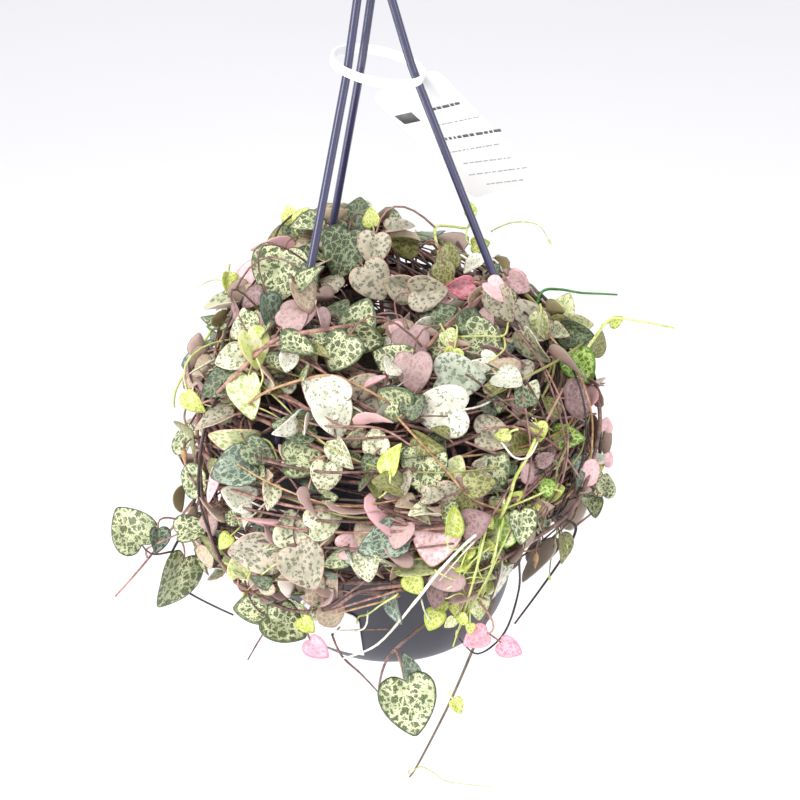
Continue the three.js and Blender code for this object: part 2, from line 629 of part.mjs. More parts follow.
// A leaf beside a wound stem: it leaves the stem outwards and lies over the nest.
function stemLeaf(point, outward, seed) {
  const spin = (draw(seed, 1) - 0.5) * 280 * DEG;
  const down = UP.clone().negate().addScaledVector(outward, UP.dot(outward)).normalize();
  const lying = down.applyAxisAngle(outward, spin);
  const axis = lying.addScaledVector(outward, 0.15 + 0.35 * draw(seed, 2)).normalize();
  const normal = outward.clone().addScaledVector(axis, -outward.dot(axis)).normalize()
    .applyAxisAngle(axis, (draw(seed, 3) - 0.5) * 1.5);
  const size = 15 + 9 * draw(seed, 4);
  const stalk = 3 + 5 * draw(seed, 5);
  const base = point.clone().addScaledVector(axis, stalk).addScaledVector(outward, 1 + 3 * draw(seed, 6));
  return {
    base, axis, normal, size, width: 0.9 + 0.2 * draw(seed, 7),
    fold: 0.15 + 0.35 * draw(seed, 8), curl: 0.3 * draw(seed, 9), fine: false,
  };
}

// ---- Assembly of the vines ----

const TRIES = 7;
const STANDS = [0, 2.5, 5, -2.5, 7.5, 10, 13];

// The nearest places on the stems that a leaf's stalk can reach from behind its notch.
function feetFor(leaf, vines) {
  const ends = [];
  for (const vine of vines) {
    let best = null;
    for (const foot of vine.path.slice(vine.laneStart, -1)) {
      const stalk = foot.clone().sub(leaf.base);
      const far = stalk.length();
      const behind = stalk.dot(leaf.axis) < 0;
      if (behind && far > 2.5 && (best === null || far < best.far)) best = { vine, foot, far };
    }
    if (best) ends.push(best);
  }
  return ends.sort((a, b) => a.far - b.far).slice(0, 4);
}

function growVines(fixed) {
  const vines = STEMS.map((stem, i) => {
    const { path, laneStart, laneEnd } = stemPath(stem);
    const solid = toSolid(bar(path, STEM_RADIUS, 3));
    const name = `vine_${String(i + 1).padStart(2, '0')}`;
    return {
      name, stem, path, laneStart, laneEnd, pieces: [solid],
    };
  });
  const isClear = (candidate, owner) => {
    const blocked = (other) => {
      const box = candidate.boundingBox();
      const near = other.boundingBox();
      if ([0, 1, 2].some((k) => box.max[k] < near.min[k] || box.min[k] > near.max[k])) return false;
      return candidate.intersect(other).volume() > 1e-4;
    };
    if (fixed.some(blocked)) return false;
    if (vines.some((vine) => vine !== owner && vine.pieces.some(blocked))) return false;
    return !owner.pieces.slice(1).some(blocked);
  };
  SHOWN_LEAVES.forEach((row, index) => {
    for (const stand of STANDS) {
      const leaf = shownLeaf(row, index, stand);
      const end = feetFor(leaf, vines).find(({ vine, foot }) => (
        isClear(leafSheet(leaf, foot, CLEARANCE), vine)
      ));
      if (end) {
        end.vine.pieces.push(leafSheet(leaf, end.foot, 0));
        return;
      }
    }
  });
  vines.forEach((vine, v) => {
    let walked = LEAF_SPACING * draw(v, 11);
    for (let i = vine.laneStart + 1; i < vine.laneEnd; i += 1) {
      walked += vine.path[i].distanceTo(vine.path[i - 1]);
      if (walked < LEAF_SPACING) continue;
      walked -= LEAF_SPACING;
      const azimuth = vine.stem.from
        + (vine.stem.wind * (i - vine.laneStart)) / (vine.laneEnd - vine.laneStart);
      const outward = nestNormal(azimuth, vine.stem.level);
      for (let turn = 0; turn < TRIES; turn += 1) {
        const leaf = stemLeaf(vine.path[i], outward, 1000 * v + 20 * i + turn);
        if (isClear(leafSheet(leaf, vine.path[i], CLEARANCE), vine)) {
          vine.pieces.push(leafSheet(leaf, vine.path[i], 0));
          break;
        }
      }
    }
  });
  return vines;
}

// ---- The whole object ----

const COLOURS = {
  plastic: { color: 0x4b4b52, roughness: 0.45, metalness: 0 },
  hanger: { color: 0x55516a, roughness: 0.35, metalness: 0 },
  soil: { color: 0x2c2019, roughness: 0.95, metalness: 0 },
  paper: { color: 0xf6f6f2, roughness: 0.6, metalness: 0 },
  foliage: { color: 0x7d8f6c, roughness: 0.5, metalness: 0 },
};

const group = new THREE.Group();

function place(name, solid, colour) {
  const mesh = new THREE.Mesh(toGeometry(solid), new THREE.MeshStandardMaterial(COLOURS[colour]));
  mesh.name = name;
  group.add(mesh);
}

const fixed = {
  pot: [makePot(), 'plastic'],
  soil: [makeSoil(STEMS.map(rootPlace)), 'soil'],
  pot_label: [makeLabel(), 'paper'],
  hook: [makeHook(), 'hanger'],
  leg_right: [makeLeg('leg_right'), 'hanger'],
  leg_front: [makeLeg('leg_front'), 'hanger'],
  leg_back: [makeLeg('leg_back'), 'hanger'],
  tag: [makeTag(), 'paper'],
};
for (const [name, [solid, colour]] of Object.entries(fixed)) place(name, solid, colour);

for (const vine of growVines(Object.values(fixed).map(([solid]) => solid))) {
  place(vine.name, vine.pieces.reduce((whole, piece) => whole.add(piece)), 'foliage');
}

export default group;
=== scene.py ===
"""String of hearts, variegated, hanging in its nursery pot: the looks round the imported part.

Lengths are in millimetres, as in the part's own source, and become metres where an object is
made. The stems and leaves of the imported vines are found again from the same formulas, so each
vine's finer piece has the same form.
"""
import math

import bpy
import numpy as np
from mathutils import Matrix, Quaternion, Vector, kdtree


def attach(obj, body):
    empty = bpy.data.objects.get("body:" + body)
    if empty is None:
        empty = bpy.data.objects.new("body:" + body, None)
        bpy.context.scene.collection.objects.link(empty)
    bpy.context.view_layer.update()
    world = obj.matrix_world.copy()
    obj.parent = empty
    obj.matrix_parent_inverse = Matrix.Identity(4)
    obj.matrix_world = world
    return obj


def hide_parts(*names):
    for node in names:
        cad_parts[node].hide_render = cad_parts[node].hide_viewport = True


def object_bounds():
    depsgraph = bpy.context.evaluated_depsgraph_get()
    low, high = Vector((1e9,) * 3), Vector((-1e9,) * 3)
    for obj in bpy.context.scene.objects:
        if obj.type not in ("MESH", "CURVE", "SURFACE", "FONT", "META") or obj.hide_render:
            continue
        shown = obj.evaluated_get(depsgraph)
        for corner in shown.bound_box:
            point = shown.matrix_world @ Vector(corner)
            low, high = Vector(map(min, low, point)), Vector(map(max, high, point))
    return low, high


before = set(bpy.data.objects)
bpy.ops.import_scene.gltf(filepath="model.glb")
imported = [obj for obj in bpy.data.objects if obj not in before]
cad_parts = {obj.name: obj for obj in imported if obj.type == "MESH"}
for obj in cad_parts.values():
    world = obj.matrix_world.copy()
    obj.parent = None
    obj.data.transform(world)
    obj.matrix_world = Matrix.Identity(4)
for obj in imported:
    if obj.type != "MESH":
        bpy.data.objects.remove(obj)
cad_low, cad_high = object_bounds()

MM = 0.001
UP = Vector((0, 0, 1))

# ---- Sizes shared with the part ----

RIM_Z = -230.0
POT_HEIGHT = 120.0
FLOOR_Z = RIM_Z - POT_HEIGHT
RIM_RADIUS = 62.0
BASE_RADIUS = 43.0
FLANGE_RADIUS = 66.0
WALL = 1.8
EAR_RADIUS = 66.5
GAP = 0.3
LEG_RADIUS = 1.75
LEG_AZIMUTHS = {"leg_right": -5, "leg_front": -133, "leg_back": 119}
LEG_WAISTS = {"leg_right": 15.2, "leg_front": 15.5, "leg_back": 9}
LEG_BEND_Z = RIM_Z + 1.5
HUB_AZIMUTHS = {"leg_right": -45, "leg_front": -115, "leg_back": 35}
WAIST_DROP = 83
HUB_TOP = -23
HUB_BOTTOM = -35
HUB_RADIUS = 7.5
HUB_LEG_RADIUS = 4.6
LEG_SOCKET = 6
HOOK_INSIDE_RADIUS = 9
HOOK_ROD_RADIUS = 2
TAG_RADIUS = 18.45
TAG_CENTRE = 1.4
TAG_PAPER = 0.7
SOIL_DROP = 12
LEG_BERTH = 6.5
BERTH_SPREAD = 14
LEVEL_WIDTH = 17
STEM_RADIUS = 0.95
BLADE = 0.8
LEAF_SPACING = 39
LANE_STEP = 18

POT_PROFILE = [
    (BASE_RADIUS, 0), (46.5, 1.6), (50.3, 6.5), (53.4, 14), (55.6, 24),
    (57.6, 42), (59.5, 65), (61, 92), (RIM_RADIUS, 114),
]

# ---- Small helpers ----


def polar(azimuth, radius, z):
    turn = math.radians(azimuth)
    return Vector((radius * math.cos(turn), radius * math.sin(turn), z))


def turned_from(azimuth, start):
    """The turn from one azimuth to another, between -180 and 180."""
    return (azimuth - start + 540) % 360 - 180


def draw(seed, turn):
    """A number from 0 to 1, another one for each seed and turn, but the same in every run."""
    wave = math.sin(seed * 12.9898 + turn * 78.233) * 43758.5453
    return wave - math.floor(wave)


def between(low, high, seed, turn):
    return low + (high - low) * draw(seed, turn)


def phase(seed, turn):
    """Where a seeded wave starts."""
    return 6.28 * draw(seed, turn)


def smoothstep(low, high, value):
    t = min(max((value - low) / (high - low), 0), 1)
    return t * t * (3 - 2 * t)


def blend(a, b, c, d, t):
    """The place t of the way from b to c, on a smooth curve that a and d bend."""
    return 0.5 * (2 * b + (c - a) * t + (2 * a - 5 * b + 4 * c - d) * t * t
                  + (3 * b - 3 * c + d - a) * t * t * t)


def smoothed(points, steps):
    """The points with a smooth curve between them, steps to each span."""
    last = len(points) - 1
    path = []
    for i in range(last):
        a, b = points[max(i - 1, 0)], points[i]
        c, d = points[i + 1], points[min(i + 2, last)]
        path += [blend(a, b, c, d, k / steps) for k in range(steps)]
    return [*path, points[last]]


def linear(code):
    """A colour written as six hexadecimal digits, as the renderer's numbers."""
    parts = [int(code[i:i + 2], 16) / 255 for i in (0, 2, 4)]
    return [c / 12.92 if c < 0.04045 else ((c + 0.055) / 1.055) ** 2.4 for c in parts]


def wall_radius(height):
    """The pot's outside radius at a height over its base."""
    for (r0, z0), (r1, z1) in zip(POT_PROFILE, POT_PROFILE[1:]):
        if height <= z1:
            return r0 + (r1 - r0) * (height - z0) / (z1 - z0)
    return RIM_RADIUS


# ---- The nest of wound stems, as in the part ----

# Radius, and height over the pot's rim, of its levels 0 to 9.
NEST_PROFILE = [
    (74, -84), (84, -72), (88.5, -52), (89, -30), (86.5, -10),
    (80, 6), (69, 18), (54, 27), (36, 32), (16, 34),
]
LEVEL_STEP = 0.05
BACK_RISE = 14
HEAPS = [dict(azimuth=105, height=16, spread=35),
         dict(azimuth=LEG_AZIMUTHS["leg_front"], height=32, spread=24)]
HEAPED_FROM = (-12, 22)
HEAPED_RADIUS = 50
WAVE_OUT = 0.015
WAVE_UP = 1.5


def profile_at(level):
    last = len(NEST_PROFILE) - 1
    i = min(max(math.floor(level), 0), last - 1)
    near = [NEST_PROFILE[min(max(k, 0), last)] for k in (i - 1, i, i + 1, i + 2)]
    return [blend(*[place[axis] for place in near], level - i) for axis in (0, 1)]


def skirt_depth(azimuth):
    """How far down the nest hangs below the rim, as a share of its profile."""
    turn = math.radians(azimuth)
    return 0.88 - 0.09 * math.cos(turn) + 0.12 * math.sin(turn)


def heap(azimuth):
    """How far the nest is heaped up over its profile."""
    rise = BACK_RISE * max(math.sin(math.radians(azimuth)), 0)
    for bump in HEAPS:
        away = turned_from(azimuth, bump["azimuth"]) / bump["spread"]
        rise += bump["height"] * math.exp(-(away ** 2))
    return rise


def nest_point(azimuth, level, depth):
    """A place in the nest: azimuth, level up its profile, and depth below its surface."""
    r, z = profile_at(level)
    r1, z1 = profile_at(level + LEVEL_STEP)
    run = math.hypot(r1 - r, z1 - z)
    turn = math.radians(azimuth)
    radius = (r - depth * (z1 - z) / run) * (1 + WAVE_OUT * math.sin(4 * turn + 1))
    height = z + depth * (r1 - r) / run
    if height < 0:
        height *= skirt_depth(azimuth)
    height += heap(azimuth) * smoothstep(*HEAPED_FROM, height) * min(1, radius / HEAPED_RADIUS)
    height += WAVE_UP * math.sin(3 * turn)
    return polar(azimuth, radius, RIM_Z + height)


def nest_normal(azimuth, level):
    return (nest_point(azimuth, level, -1) - nest_point(azimuth, level, 0)).normalized()


def leg_radius_at(name, z):
    """How far from the upright axis the hanger's leg is at a height."""
    along = (z - LEG_BEND_Z) / (-WAIST_DROP - LEG_BEND_Z)
    return EAR_RADIUS + (LEG_WAISTS[name] - EAR_RADIUS) * along


def clear_of_legs(azimuth, level, depth):
    """The level, shifted up or down the profile where a leg of the hanger passes near it."""
    shift = 0
    for name, leg_azimuth in LEG_AZIMUTHS.items():
        from_leg = turned_from(azimuth, leg_azimuth)
        there = nest_point(leg_azimuth, level, depth)
        miss = leg_radius_at(name, there.z) - math.hypot(there.x, there.y)
        if there.z > RIM_Z and abs(miss) < LEG_BERTH:
            push = (LEG_BERTH - abs(miss)) * (1 if miss >= 0 else -1)
            shift += push / LEVEL_WIDTH * math.exp(-((from_leg / BERTH_SPREAD) ** 2))
    return level + shift


# ---- Places in the slanted front view, as in the part ----

VIEW_CENTRE = Vector((0, 0, RIM_Z - 8.6))
VIEW_ELEVATION = math.radians(30)
VIEW_DISTANCE = 800
VIEW_OFFSET = 6.3
TO_EYE = Vector((0, -math.cos(VIEW_ELEVATION), math.sin(VIEW_ELEVATION)))
VIEW_RIGHT = Vector((1, 0, 0))
VIEW_UP = Vector((0, math.sin(VIEW_ELEVATION), math.cos(VIEW_ELEVATION)))
EYE = VIEW_CENTRE + TO_EYE * VIEW_DISTANCE + VIEW_RIGHT * VIEW_OFFSET


def view_ray(right, up):
    return (VIEW_CENTRE + VIEW_RIGHT * right + VIEW_UP * up - EYE).normalized()


def view_point(right, up, behind):
    ray = view_ray(right, up)
    return EYE + ray * ((behind - EYE.y) / ray.y)


def place_in_view(point):
    """Right and up in the front view, and the distance from the eye."""
    ray = point - EYE
    scale = VIEW_DISTANCE / -ray.dot(TO_EYE)
    at = EYE + ray * scale - VIEW_CENTRE
    return at.dot(VIEW_RIGHT), at.dot(VIEW_UP), ray.length


GRID_TURN = 5
GRID_LEVEL = 0.33
TOP_LEVEL = 9
ON_NEST = 6  # a ray that passes a point of the grid this near meets the nest


def make_nest_grid():
    points = []
    for azimuth in range(-180, 180, GRID_TURN):
        level = 0.0
        while level <= TOP_LEVEL:
            points.append(nest_point(azimuth, level, 0))
            level += GRID_LEVEL
    return np.array(points)


NEST_GRID = make_nest_grid()


def nearest_of_nest(ray):
    """The nest's nearest point along a ray or beside it, how far along it is, and its miss."""
    away = NEST_GRID - np.array(EYE)
    reach = away @ np.array(ray)
    miss = np.linalg.norm(away - reach[:, None] * np.array(ray), axis=1)
    before_any_miss = 10 * VIEW_DISTANCE
    best = int(np.argmin(np.where(miss < ON_NEST, reach - before_any_miss, miss)))
    return NEST_GRID[best], float(reach[best]), float(miss[best])


def nest_seen_at(right, up):
    """The point seen at a place in the view, on the nest or level with its nearest edge."""
    ray = view_ray(right, up)
    return EYE + ray * nearest_of_nest(ray)[1]


def hanging_at(right, up):
    """The point seen at a place in the view, on the nest or upright below its nearest edge."""
    ray = view_ray(right, up)
    edge, reach, miss = nearest_of_nest(ray)
    if miss < ON_NEST:
        return EYE + ray * reach
    return view_point(right, up, float(edge[1]))


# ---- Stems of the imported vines, as in the part ----

# Each stem: level and depth of its wound lane, azimuth where it starts, degrees that it winds,
# root's distance from the pot's axis, and any free end, as places right and up in the front
# view and behind that axis.
STEMS = [
    dict(level=0.2, depth=4, start=-60, wind=-340, root=50,
         free=[(10, -103, -82), (-3.8, -116, -76), (-7.3, -130, -73), (-6, -136, -72)]),
    dict(level=0.8, depth=8, start=-66, wind=370, root=38,
         free=[(45.3, -89, -66), (34.5, -113, -58), (23, -137, -52), (9, -162, -48),
               (5, -167.5, -47)]),
    dict(level=1.4, depth=4, start=28, wind=158, root=52,
         free=[(-84, -36, -17), (-90, -52, -20), (-97, -64, -22), (-98, -75, -24),
               (-88, -84, -32), (-71, -93, -50)]),
    dict(level=1.4, depth=4, start=-160, wind=132, root=44,
         free=[(82.5, -58.7, -33), (75, -74, -38), (54, -101, -48)]),
    dict(level=2.0, depth=8, start=-148, wind=332, root=34,
         free=[(-82, -36, -8), (-108, -67, -12), (-123, -83, -14)]),
    dict(level=2.6, depth=4, start=-30, wind=-340, root=54, free=[]),
    dict(level=3.2, depth=8, start=82, wind=230, root=30,
         free=[(46, -66, -84), (36, -88, -80), (27, -109, -76)]),
    dict(level=3.8, depth=4, start=150, wind=-335, root=48, free=[]),
    dict(level=4.4, depth=8, start=60, wind=-60, root=42,
         free=[(97, 29, 6), (105.5, 33, 5), (129, 28, 2)]),
    dict(level=4.4, depth=8, start=75, wind=265, root=56, free=[]),
    dict(level=5.0, depth=4, start=-82, wind=-113, root=46,
         free=[(-70, 40, 30), (-79, 30, 22), (-92.5, 9, 14), (-94, 0, 12)]),
    dict(level=5.0, depth=4, start=-52, wind=209, root=40, free=[]),
    dict(level=5.6, depth=8, start=-100, wind=116, root=36,
         free=[(71, 46, 30), (88, 45, 28), (104.4, 43.6, 26)]),
    dict(level=5.6, depth=8, start=-108, wind=-225, root=50, free=[]),
    dict(level=6.2, depth=4, start=172, wind=345, root=48, free=[]),
    dict(level=6.85, depth=6, start=90, wind=-340, root=44, free=[]),
    dict(level=7.5, depth=4, start=-20, wind=70, root=30,
         free=[(24.5, 76, 58), (38.6, 75.5, 55), (40, 84, 53)]),
    dict(level=7.6, depth=7, start=80, wind=245, root=26, free=[]),
    dict(level=8.3, depth=5, start=150, wind=340, root=14, free=[]),
]
ROOT_DEPTH = 9
SHOOT_HEIGHT = 6
OVER_RIM = 3
DOWN_FROM = 20
DOWN_STEP = 18
WALL_BERTH = 4
FREE_SMOOTHING = 2


def climb(stem, lane):
    """The stem's way from its root in the soil over the rim to the start of its wound lane."""
    azimuth, root = stem["start"], stem["root"]
    soil = RIM_Z - SOIL_DROP
    path = [polar(azimuth, root, soil - ROOT_DEPTH), polar(azimuth, root, soil + SHOOT_HEIGHT)]
    away = math.hypot(lane.x, lane.y)
    if lane.z < RIM_Z + 4:
        path.append(polar(azimuth, RIM_RADIUS - 4, RIM_Z + OVER_RIM))
        path.append(polar(azimuth, FLANGE_RADIUS + 1, RIM_Z + OVER_RIM))
        path.append(polar(azimuth, FLANGE_RADIUS + 3, RIM_Z - OVER_RIM))
        z = RIM_Z - DOWN_FROM
        while z > lane.z + 8:
            path.append(polar(azimuth, wall_radius(z - FLOOR_Z) + WALL_BERTH, z))
            z -= DOWN_STEP
        path.append(polar(azimuth, away - 9, lane.z + 2))
    elif away > RIM_RADIUS - 4:
        path.append(polar(azimuth, RIM_RADIUS - 5, RIM_Z + OVER_RIM))
    return path


def stem_path(stem):
    """The vine's points, and where its wound lane starts and ends among them."""
    count = round(abs(stem["wind"]) / LANE_STEP)
    lane = []
    for i in range(count + 1):
        azimuth = stem["start"] + stem["wind"] * i / count
        level = clear_of_legs(azimuth, stem["level"], stem["depth"])
        lane.append(nest_point(azimuth, level, stem["depth"]))
    rise = climb(stem, lane[0])
    free = [view_point(*place) for place in stem["free"]]
    tail = smoothed([lane[count], *free], FREE_SMOOTHING)[1:] if free else []
    return dict(stem, path=[*rise, *lane, *tail], lane_start=len(rise),
                lane_end=len(rise) + count)


# ---- Looks of the leaves ----

# Dark and light colour of the marbling, share of the light one, rim and underside.
LOOKS = {
    name: dict(zip(("dark", "light", "share", "rim", "under"), look)) for name, look in {
        "marbled": ("4b5a39", "dfe3b8", 0.46, "465739", "bda39b"),
        # The dark look is a darker leaf, and also painted shade where front leaves that lie in
        # shadow are given it.
        "dark": ("38452f", "9aa683", 0.4, "3d4a35", "a08783"),
        "teal": ("48594b", "a5b3a0", 0.45, "4b5f50", "aaa797"),
        "grey": ("636754", "c2b8a5", 0.66, "d3a596", "c4a9a0"),
        "cream": ("66734f", "e2dfc4", 0.66, "ddd6b8", "d8c4b8"),
        "white": ("7f8a6e", "ebe8dc", 0.78, "efe8da", "e2d2cb"),
        "silver": ("66725f", "c9cfbf", 0.64, "f0eee2", "d5cdc3"),
        "lime": ("a3b83a", "e6e79c", 0.5, "bccb52", "cdd67c"),
        "bright": ("4f7d10", "c8df86", 0.5, "5c9012", "b2bd84"),
        "vivid": ("8fbc14", "eef4c8", 0.5, "94c424", "d5e2a4"),
        "fresh": ("b4cb3a", "f4f2cc", 0.7, "e2e6a0", "ecebcc"),
        "pale": ("95a35c", "e3e6bc", 0.62, "b6c080", "d2d4a8"),
        "pink": ("d9a6ad", "ecccd0", 0.66, "d68f9b", "dcb0b6"),
        "hot": ("e8859c", "fbbccb", 0.5, "f098ac", "f6b4c4"),
        "mauve": ("a98b8c", "bfa3a2", 0.5, "b6979a", "b19591"),
        "beige": ("a08c79", "cbb9a2", 0.5, "c8a092", "c9b5a2"),
        "olive": ("62643a", "a5a36c", 0.45, "7a734c", "988a68"),
        "purple": ("7d5f62", "a68a8a", 0.5, "957578", "8f7272"),
    }.items()
}

# The front's own leaves: place right and up in the front view, length, direction of the
# tip in that view, roll about the midrib, and look. But for the look, the part has the same.
SHOWN_LEAVES = [
    (-45.4, 57.3, 27, -105, 8, "marbled"), (-50.5, 42, 15, -85, 50, "teal"),
    (-32, 54, 15, -55, 60, "marbled"), (-39, 75.5, 12, 120, 20, "dark"),
    (-57.4, 47, 12, 200, 35, "purple"), (-40, 37, 13, 30, 15, "mauve"),
    (-26.6, 36, 12, -70, 65, "mauve"), (-16.4, 66, 24, -105, 10, "dark"),
    (-10, 82.7, 17, 80, 5, "dark"), (-58, 25, 18, -75, 40, "fresh"),
    (-68.5, 21, 13, 190, 20, "cream"), (-38, 25.3, 16, -10, 45, "marbled"),
    (-10, 37, 18, 70, 15, "marbled"), (-9.3, 28, 18, -20, 30, "marbled"),
    (-19.5, 22, 18, -120, 5, "marbled"), (-72, 9.8, 20, -165, 40, "dark"),
    (-61, 4, 20, -95, 40, "pale"), (-85, 1.8, 13, -60, 50, "lime"),
    (-27, 4, 21, 150, 10, "white"), (-23.5, -6, 19, -70, 20, "white"),
    (8.5, 77, 14, 10, 60, "grey"), (9.5, 69, 16, 175, 50, "olive"),
    (-3, 66.7, 16, -100, 10, "grey"), (-4, 53, 19, -60, 5, "grey"),
    (7.6, 50, 15, 160, 20, "grey"), (20, 47, 18, 0, 15, "grey"),
    (30, 63.5, 13, 100, 20, "olive"), (28, 55, 12, -80, 20, "olive"),
    (34.5, 49, 14, 200, 35, "hot"), (40.5, 59, 11, -150, 50, "white"),
    (60, 50, 13, -40, 20, "pink"), (25, 37, 16, 35, 35, "dark"),
    (12.5, 24, 17, -80, 10, "mauve"), (13, 12, 18, -90, 15, "mauve"),
    (51.4, 41, 16, -70, 45, "grey"), (66, 21.8, 19, -60, 55, "cream"),
    (44, 25, 20, -20, 20, "marbled"), (29.6, 18, 10, -110, 20, "lime"),
    (87, 12, 17, -60, 5, "bright"), (95, 22, 12, 60, 50, "olive"),
    (33, 9, 22, 0, 10, "silver"), (24, -5, 24, 180, 15, "white"),
    (-67.5, -15, 22, 175, 55, "pale"), (-68, -28, 20, -170, 20, "teal"),
    (-57, -21, 15, -40, 30, "dark"), (-37, -25, 19, 0, 15, "marbled"),
    (-28, -33, 14, -100, 10, "cream"), (-20, -23, 15, -70, 50, "cream"),
    (-66.5, -40, 15, 150, 15, "white"), (-44, -55.5, 16, 90, 10, "cream"),
    (-29, -53, 16, 20, 15, "cream"), (-18, -63.5, 12, 10, 20, "pink"),
    (-38, -71.5, 21, -70, 10, "grey"), (-67.6, -71.5, 12, 80, 20, "fresh"),
    (-62, -90, 17, 170, 15, "marbled"), (-48, -98, 21, -30, 15, "marbled"),
    (-33.8, -109, 12, -50, 25, "hot"), (-5, -18, 12, 90, 0, "cream"),
    (-7.5, -29, 10, -110, 10, "dark"), (2, -26, 14, 80, 50, "lime"),
    (16, -31.5, 21, -88, 5, "marbled"), (29.7, -30.7, 11, 60, 10, "pale"),
    (33, -47, 13, -120, 20, "olive"), (40, -38, 13, 20, 25, "olive"),
    (48.5, -32.5, 15, -80, 20, "marbled"), (20, -62, 23, -95, 10, "pink"),
    (28, -54, 13, 75, 50, "lime"), (47.5, -58.7, 16, 190, 10, "vivid"),
    (58, -57, 15, -80, 30, "marbled"), (80, -18.7, 15, -20, 35, "bright"),
    (72.6, -42.7, 11, 20, 15, "lime"), (96, -41, 11, 80, 10, "marbled"),
    (91, -50, 10, -100, 30, "marbled"), (-11, -73, 13, -90, 15, "cream"),
    (12.7, -74, 20, 10, 55, "pale"), (1, -92, 15, -85, 60, "teal"),
    (10, -82, 10, -60, 10, "lime"), (18, -98, 10, -110, 10, "lime"),
    (19.4, -87.5, 11, -90, 30, "purple"), (36.6, -107, 12, -160, 20, "hot"),
    (51.5, -111.6, 11, -30, 25, "hot"), (76.5, -68, 14, -80, 60, "olive"),
    (-115, -53, 22, 115, 5, "marbled"), (-95.6, -77, 27, -115, 48, "marbled"),
    (-88, -54.7, 16, 10, 30, "marbled"), (-102, -58, 12, -95, 30, "teal"),
    (6, -135.5, 26, -80, 0, "marbled"), (6, -119, 13, 95, 50, "teal"),
]

# Small leaves that only the scene has.
TINY_LEAVES = [
    (-39.7, 83.5, 9, 100, 10, "lime"), (-34, 82.7, 9, 60, 20, "lime"),
    (-3.8, 81, 9, 100, 20, "lime"), (-42.6, 18.7, 9, -100, 20, "white"),
    (44, 67.5, 9, 0, 20, "lime"), (40, 83.5, 7, 90, 20, "lime"),
    (-68, 55, 9, -100, 30, "lime"), (29, 26, 9, -60, 20, "pale"),
    (46.7, 17, 8, 0, 20, "white"), (42, 13, 9, -20, 40, "white"),
    (80, 39, 13, 60, 25, "pale"), (87, 31, 12, -10, 35, "pale"),
    (70, 31, 13, -85, 45, "pale"), (103, 32, 7, 20, 30, "lime"),
    (51, -17, 7, -160, 30, "lime"), (67, -16, 9, -80, 20, "lime"),
    (97, -29, 7, 60, 20, "pink"), (97, -14, 7, 80, 20, "pink"),
    (69, -40, 9, 160, 20, "bright"), (48, -48, 8, -90, 20, "pale"),
    (67, -49, 7, -80, 30, "lime"), (43, -55, 8, -40, 40, "lime"),
    (32, -73, 9, 20, 30, "lime"), (39, -79, 13, 15, 50, "pale"),
    (38, -92, 12, -75, 30, "pale"), (24, -79, 15, -160, 30, "mauve"),
    (31, -87, 13, 200, 40, "mauve"), (28, -93, 7, 170, 20, "lime"),
    (31, -98, 6, -60, 20, "lime"), (25, -99, 6, -130, 30, "pale"),
    (-38, -98, 9, -60, 20, "lime"), (-66, -73, 10, -30, 30, "pale"),
    (-60, -70, 8, 60, 20, "lime"), (-73, -60, 8, -140, 20, "lime"),
    (27, -136, 7, -60, 20, "lime"), (6, 30, 9, -60, 40, "pink"),
    (35, -68, 6, 40, 20, "lime"), (30, -80, 6, -30, 30, "lime"),
    (36, -86, 6, 150, 20, "fresh"), (22, -92, 6, -100, 20, "lime"),
    (44, -66, 6, -20, 30, "lime"), (43, -84, 6, 60, 20, "fresh"),
    (34, -102, 5, -90, 20, "lime"), (57, -44, 6, 20, 30, "lime"),
    (92, -34, 7, 40, 30, "lime"), (62, -52, 7, -50, 30, "lime"),
]

# Leaves that hang before the hanger's legs.
LEG_LEAVES = [
    (-31.8, 55, 15, 48, 60, "marbled"), (-35, 47, 15, -65, 40, "beige"),
    (-36.5, 39.5, 15, 25, 25, "mauve"), (50, 47, 12, -45, 35, "pink"),
    (52.5, 40.5, 17, -72, 35, "grey"), (-27, 45, 13, 110, 40, "grey"),
]

# How far a front leaf may stand off the nest, in the order in which the part tries them.
STANDS = [0, 2.5, 5, -2.5, 7.5, 10, 13]
TRIES = 7
NOTCH_TO_TIP = 0.9
NOTCH_TO_MIDDLE = 0.4


def shown_leaf(row, index, stand, seen_at=nest_seen_at):
    """A leaf of the front view, its face towards the eye but for its roll."""
    right, up, size, turn, roll, look = row
    centre = seen_at(right, up) + TO_EYE * stand
    to_eye = (EYE - centre).normalized()
    level = (UP - to_eye * UP.dot(to_eye)).normalized()
    across = level.cross(to_eye)
    turn = math.radians(turn)
    axis = across * math.cos(turn) + level * math.sin(turn)
    tilt = math.radians(roll) * (1 if draw(index, 1) < 0.5 else -1)
    normal = Quaternion(axis, tilt) @ to_eye
    return dict(
        base=centre - axis * (NOTCH_TO_MIDDLE * size), axis=axis, normal=normal, size=size,
        width=1, fold=0.22 + 0.2 * draw(index, 2), curl=0.1 + 0.2 * draw(index, 3), look=look,
    )


def stem_leaf(point, outward, seed):
    """A leaf on a short stalk from a stem's point, turned any way over the nest's surface."""
    spin = (draw(seed, 1) - 0.5) * math.radians(280)
    down = (outward * UP.dot(outward) - UP).normalized()
    lying = Quaternion(outward, spin) @ down
    axis = (lying + outward * (0.15 + 0.35 * draw(seed, 2))).normalized()
    normal = (outward - axis * outward.dot(axis)).normalized()
    normal = Quaternion(axis, (draw(seed, 3) - 0.5) * 1.5) @ normal
    stalk = 3 + 5 * draw(seed, 5)
    return dict(
        base=point + axis * stalk + outward * (1 + 3 * draw(seed, 6)), axis=axis,
        normal=normal, size=15 + 9 * draw(seed, 4), width=0.9 + 0.2 * draw(seed, 7),
        fold=0.15 + 0.35 * draw(seed, 8), curl=0.3 * draw(seed, 9),
    )


def middle_of(leaf):
    return leaf["base"] + leaf["axis"] * (NOTCH_TO_MIDDLE * leaf["size"])


